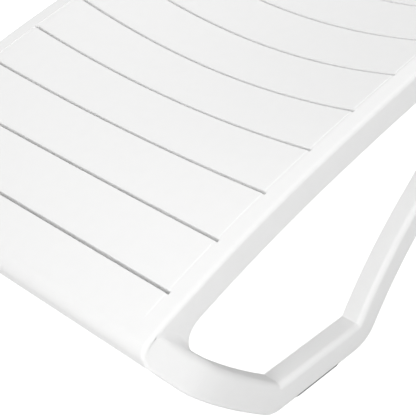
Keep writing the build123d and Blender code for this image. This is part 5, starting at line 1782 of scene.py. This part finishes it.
# %% Rim, hub and tyre
y0, y1 = WHEEL_Y
inset = WHEEL_WIDTH / 6
rim = [(RIM - 8, y0 + inset + 1), (RIM - 8, y1 - inset - 1), (RIM - 7, y1 - inset), (RIM, y1 - inset),
       (RIM, y0 + inset), (RIM - 7, y0 + inset)]
hub = ring_profile(AXLE / 2 + RUN_FIT + 0.05, HUB / 2, y0 - 1, RAIL_Y - 1, 1.2)
rim_ring, hub_ring = turned(rim, AXLE_AT, ring=True, steps=72), turned(hub, AXLE_AT, ring=True)
pair("wheel", joined("wheel_left", [rim_ring, hub_ring, spokes]), "wheel_SIDE", "wheel_hub")

crown = WHEEL / 2 - 1.2
shoulder = [(5, 0), (2.6, 1.1), (0.9, 2.8), (0, 5.5)]      # in from the crown, in from the side
tyre = [(RIM, y0 + 1), (RIM, y1 - 1), (RIM + 1, y1)] + [(crown - d, y1 - e) for d, e in shoulder]
tyre += [(crown - d, y0 + e) for d, e in shoulder[::-1]] + [(RIM + 1, y0)]
tyre_ring = turned(tyre, AXLE_AT, ring=True, steps=88)
pair("tyre", joined("tyre_left", [tyre_ring, tread]), "wheel_SIDE", "wheel_tyre")

# %% [markdown]
# ## The axle
# A steel rod runs right through both rear legs and wheels. A domed cap covers each end, and a clip
# inside each wheel keeps it from sliding inwards. A boss round the rod stiffens the leg there. It is
# part of the leg's moulding, so it is joined to the leg's mesh.

# %% Axle, caps, clips and bosses
CAP, CAP_HEIGHT, CLIP, CLIP_THICKNESS, BOSS_WALL = 24.0, 5.0, 22.0, 4.0, 5.0
rod = turned(rod_profile(AXLE / 2, -LEG_Y, LEG_Y, 1.0), AXLE_AT)
settle(linked("axle_look", rod), "axle", "frame", "zinc_steel")
dome = [(0.6, 0), (0, 0.6), (0, 1.8), (0.7, 3.3), (2.2, 4.4), (5, CAP_HEIGHT)]      # in from the rim, out
cap = [(CAP / 2 - d, LEG_Y + out) for d, out in dome] + [(2, LEG_Y + CAP_HEIGHT)]
pair("axle_cap", turned(cap, AXLE_AT), "frame", "grey_nylon")
clip_end, bore, rim = y0 - 1 - PIECE_GAP, AXLE / 2, CLIP / 2
clip = [(bore, clip_end - 3), (bore, clip_end - 0.5), (bore + 0.5, clip_end), (rim - 0.5, clip_end),
        (rim, clip_end - 0.5), (rim, clip_end - 1.8), (rim - 0.5, clip_end - 2.2), (bore + 3, clip_end - 2.4),
        (bore + 2.4, clip_end - CLIP_THICKNESS), (bore + 0.6, clip_end - CLIP_THICKNESS)]
pair("axle_clip", turned(clip, AXLE_AT, ring=True), "frame", "grey_nylon")
boss = turned(ring_profile(AXLE / 2, AXLE / 2 + BOSS_WALL, RAIL_Y + 1, RAIL_Y + 27), AXLE_AT, ring=True)
rear_leg = joined("rear_leg", [rear_leg, boss])

# %% [markdown]
# ## The pads under the feet
# Each sole stands on a strip of dark rubber with round ends, which grips the ground. Its sizes are
# read from the frame. A bevelled box would do, but a stack of outlines eases it underneath only. Two
# studs push up into the leg.

# %% A pad and its studs
STUD = 3.0


def foot_pad(node):
    """A strip with round ends, eased underneath, on two studs."""
    low, high = [[v / MM for v in corner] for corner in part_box(node)]
    y, half = (low[1] + high[1]) / 2, (high[1] - low[1]) / 2
    head, foot = high[0] - half, low[0] + half

    def level(turns, r, z):
        """An outline at height z, from (x of the centre, angle) pairs."""
        return [(MM * (cx + r * cos(a)), MM * (y + r * sin(a)), MM * z) for cx, a in turns]

    strip = [(cx, radians(a + 15 * k)) for cx, a in ((head, -90), (foot, 90)) for k in range(13)]
    bm = bmesh.new()
    eased = ((0, 1.6), (0.4, 0.6), (1.2, 0), (3.6, 0), (SOLE_Z, 0.4))
    loft(bm, [level(strip, half - less, z) for z, less in eased])
    for cx in (foot, head):
        stud = [(cx, pi / 8 * k) for k in range(16)]
        steps = ((STUD, SOLE_Z - 1), (STUD, high[2] - 0.5), (STUD - 0.5, high[2]))
        loft(bm, [level(stud, r, z) for r, z in steps])
    return mesh_from(bm, node)


for node in ("front_foot_pad", "rear_foot_pad"):
    pair(node, foot_pad(node + "_left"), "frame", "grey_pad")

# %% [markdown]
# ## One screw, many places
# All screws are one pan-head screw with a six-lobe recess, so one is drawn and a tree places a copy
# at each point of a small cloud, turned round on the right-hand side. The leg is thin by the nose, so
# the screws there are shorter.

# %% The tree that places screws
def screw_tree():
    tree = Tree("screws_at_points", {"Screw": "Object", "Places": "Object", "Material": "Material"})
    given = tree.given
    places = tree.add("GeometryNodeObjectInfo", {"Object": given["Places"]}, out="Geometry")
    one = tree.add("GeometryNodeObjectInfo", {"Object": given["Screw"]}, out="Geometry")
    y = tree.add("ShaderNodeSeparateXYZ", {"Vector": tree.add("GeometryNodeInputPosition")}, out="Y")
    turn = tree.add("ShaderNodeCombineXYZ", {"Z": tree.math("MULTIPLY", tree.math("LESS_THAN", y, 0.0), pi)})
    copies = tree.add("GeometryNodeInstanceOnPoints", {"Points": places, "Instance": one, "Rotation": turn})
    return tree.finish(copies, given["Material"])


SCREW_TREE = screw_tree()
print("screw tree with", len(SCREW_TREE.group.nodes), "nodes")

# %% The pan-head screw
SCREW, SCREW_LENGTH = 5.0, 18.0


def pan_head(length):
    """A screw about the origin: its recess, its domed head, then the shank."""
    r, rim = SCREW / 2, SCREW_HEAD / 2
    profile = [(1.6, -1.6), (2.1, -3.4), (3.4, -SCREW_HEAD_HEIGHT), (4.6, -2.5), (rim, -1.2), (rim, 0),
               (r, 0), (r, length - 1.5), (1.2, length)]
    screw = linked("screw", turned(profile, (0, 0), steps=12, lobes=0.72))
    screw.data.transform(Matrix.Translation(-place(0, 0, 0)))
    return screw


one_screw, short_screw = pan_head(SCREW_LENGTH), pan_head(SKIN + 2.5)
print("a screw has", len(one_screw.data.polygons), "faces")

# %% Where the screws go
SCREW_INSET, SCREW_SPAN = 15.0, 16.0
LIMB_SCREWS = []
for loop, towards in ((FRONT, 1), (REAR, -1), (REAR, 1)):
    x, z = loop.spot(towards, loop.bend(towards), SCREW_INSET)
    LIMB_SCREWS += [(x, z), (x + towards * SCREW_SPAN, z)]
NOSE_SCREWS = [(NOSE_X - 5, NOSE_Z), (NOSE_X + 10, NOSE_Z - 10)]
SPLICE_SCREWS = [(SEAT_END - 58 * share, REAR_TOP - RAIL_DEPTH * 0.6) for share in (0.3, 0.7)]
HEAD_SCREW = [(HEAD_X - HEAD_BAR + SKIN + SCREW_HEAD, REAR_TOP - 2 * SKIN - SCREW_HEAD / 2)]


def driven(screw, places, seat):
    """Copies of a screw at these places on both sides."""
    cloud = bpy.data.meshes.new("places")
    cloud.from_pydata([place(x, side * seat, z) for x, z in places for side in (1, -1)], [], [])
    cloud = linked("places", cloud)
    made = taken(SCREW_TREE.run("screws", Screw=screw, Places=cloud, Material=STEEL))
    bpy.data.meshes.remove(taken(cloud))
    return made


for node, places, seat_y in (("leg_screws", LIMB_SCREWS, RAIL_Y - SKIN),
                             ("splice_screws", SPLICE_SCREWS, SLOT_HALF + 1),
                             ("rack_screws", RACK_PLACES, PLATE_Y + SCREW_HEAD_HEIGHT),
                             ("head_screws", HEAD_SCREW, REAR_RAIL_Y - SKIN)):
    parts = [driven(one_screw, places, seat_y)]
    if node == "leg_screws":
        parts.append(driven(short_screw, NOSE_SCREWS, seat_y))
    settle(linked(node + "_look", joined(node + "_look", parts)), node, "frame", "zinc_steel")
for screw in (short_screw, one_screw):
    bpy.data.meshes.remove(taken(screw))

# %% [markdown]
# ## Settling the big mouldings
# Seat, backrest and legs come last, because cheeks, lugs and bosses were still added to them. They
# could be settled one by one, but normals are worked out over a whole mesh.

# %% Seat, backrest and legs
settle(seat_deck, "seat_deck", "frame", "white_resin")
settle(backrest, "backrest_panel", "backrest", "white_resin")
for node, mesh in (("front_leg", front_leg), ("rear_leg", rear_leg)):
    pair(node, mesh, "frame", "white_resin")

# %% [markdown]
# ## The camera
# The camera looks down on the foot end from the near corner, so that the slots come large and the
# backrest rises behind. A Track To constraint could aim it, but three directions at right angles say
# the same and stay as they are. It is placed from the first slot.

# %% Looking down on the foot end
FORWARD = Vector((0.6064, 0.5683, -0.5561)).normalized()
RIGHT = Vector((0.684, -0.730, 0)).normalized()
UP = RIGHT.cross(FORWARD)
FROM_FIRST_SLOT = Vector((-0.7971, -1.0905, 0.8846))
LENS, SENSOR = 102.1, 36.0
slot_x, slot_z = RAIL.at(NOSE_TO_SLOT)
camera = linked("camera", bpy.data.cameras.new("camera"))
camera.data.lens, camera.data.sensor_width = LENS, SENSOR
turn = Matrix((RIGHT, UP, -FORWARD)).transposed().to_4x4()
camera.matrix_world = Matrix.Translation(place(slot_x, 0, slot_z) + FROM_FIRST_SLOT) @ turn
bpy.context.scene.camera = camera
print("camera", round(FROM_FIRST_SLOT.length, 2), "m from the first slot")

# %% [markdown]
# ## The floor
# The lounger stands on a pale ground with soft shadows. A plain white plane would go grey away from
# the lamps, so the floor is matt and also glows a little, but only for rays straight from the camera,
# which keeps the glow off the underside of the legs.

# %% A matt floor with a glow for the camera
FLOOR_HALF, FLOOR_GREY, FLOOR_GLOW = 9, 0.7, 0.75
floor = bpy.data.meshes.new("floor")
corners = [(x * FLOOR_HALF, y * FLOOR_HALF, 0) for x, y in ((-1, -1), (1, -1), (1, 1), (-1, 1))]
floor.from_pydata(corners, [], [(0, 1, 2, 3)])
floor = linked("floor", floor)
ground = bpy.data.materials.new("floor")
ground.use_nodes = True
nodes, links = ground.node_tree.nodes, ground.node_tree.links
shader = nodes["Principled BSDF"]
shader.inputs["Base Color"].default_value = (FLOOR_GREY, FLOOR_GREY, FLOOR_GREY, 1)
shader.inputs["Roughness"].default_value = 1.0
shader.inputs["Specular IOR Level"].default_value = 0.0
ray, glow = nodes.new("ShaderNodeLightPath"), nodes.new("ShaderNodeEmission")
mix = nodes.new("ShaderNodeAddShader")
links.new(ray.outputs["Is Camera Ray"], glow.inputs["Strength"])
glow.inputs["Color"].default_value = (FLOOR_GLOW, FLOOR_GLOW, FLOOR_GLOW, 1)
links.new(shader.outputs[0], mix.inputs[0])
links.new(glow.outputs[0], mix.inputs[1])
links.new(mix.outputs[0], nodes["Material Output"].inputs["Surface"])
floor.data.materials.append(ground)
print("floor", 2 * FLOOR_HALF, "m wide")

# %% [markdown]
# ## The background
# The background is white to look at, but as a light it would wash the slots out. A Light Path node
# tells the two apart: the camera sees it at full strength, and the object gets less than half.

# %% Bright to the camera, dimmer as a light
AS_LIGHT, AS_SEEN = 0.43, 1.0
world = bpy.context.scene.world or bpy.data.worlds.new("world")
bpy.context.scene.world = world
world.use_nodes = True
nodes, links = world.node_tree.nodes, world.node_tree.links
back = nodes["Background"]
back.inputs["Color"].default_value = (1, 1, 1, 1)
ray, ramp = nodes.new("ShaderNodeLightPath"), nodes.new("ShaderNodeMapRange")
links.new(ray.outputs["Is Camera Ray"], ramp.inputs["Value"])
ramp.inputs["To Min"].default_value, ramp.inputs["To Max"].default_value = AS_LIGHT, AS_SEEN
links.new(ramp.outputs[0], back.inputs["Strength"])
print("background", AS_LIGHT, "as a light,", AS_SEEN, "as seen")

# %% [markdown]
# ## The lamps
# White on white shows its shape only by small steps of grey. Big disc lamps give them soft edges: the
# strongest stands beyond the head end and grazes the slots, one in front lights the nose, and the
# others fill the sides and the top.

# %% Seven soft lamps
LAMPS = {   # name: place, aim, width of the disc, power
    "head_fill": ((3.4, 0.3, 2.6), (0, 0, 0.3), 2.0, 78),
    "front": ((-3.2, -1.2, 1.6), (-0.5, -0.2, 0.3), 1.4, 36.5),
    "near_corner": ((-1.9, -1.5, 1.9), (-0.7, -0.2, 0.3), 0.8, 8.8),
    "left_fill": ((-0.2, 3.4, 2.4), (-0.3, 0, 0.3), 2.0, 12),
    "right_fill": ((-0.3, -3.6, 1.6), (-0.3, 0, 0.3), 2.0, 6.5),
    "right_far": ((1.5, -3.2, 2.2), (0.2, 0, 0.3), 2.0, 11),
    "top": ((0.2, 0.2, 4.0), (0, 0, 0.3), 3.5, 15.5),
}


def lamp(name, at, aim, size, power):
    light = bpy.data.lights.new(name, "AREA")
    light.shape, light.size, light.energy = "DISK", size, power
    thing = linked(name, light)
    thing.location = at
    thing.rotation_euler = (Vector(aim) - Vector(at)).to_track_quat("-Z", "Y").to_euler()


for name, values in LAMPS.items():
    lamp(name, *values)
bpy.context.scene.view_settings.view_transform = "Standard"
print(len(LAMPS), "lamps")

# %% [markdown]
# ## Finishing
# The looks are drawn to stay inside the construction's box. At the end the view layer is brought up to date.

# %% Bringing the scene up to date
bpy.context.view_layer.update()
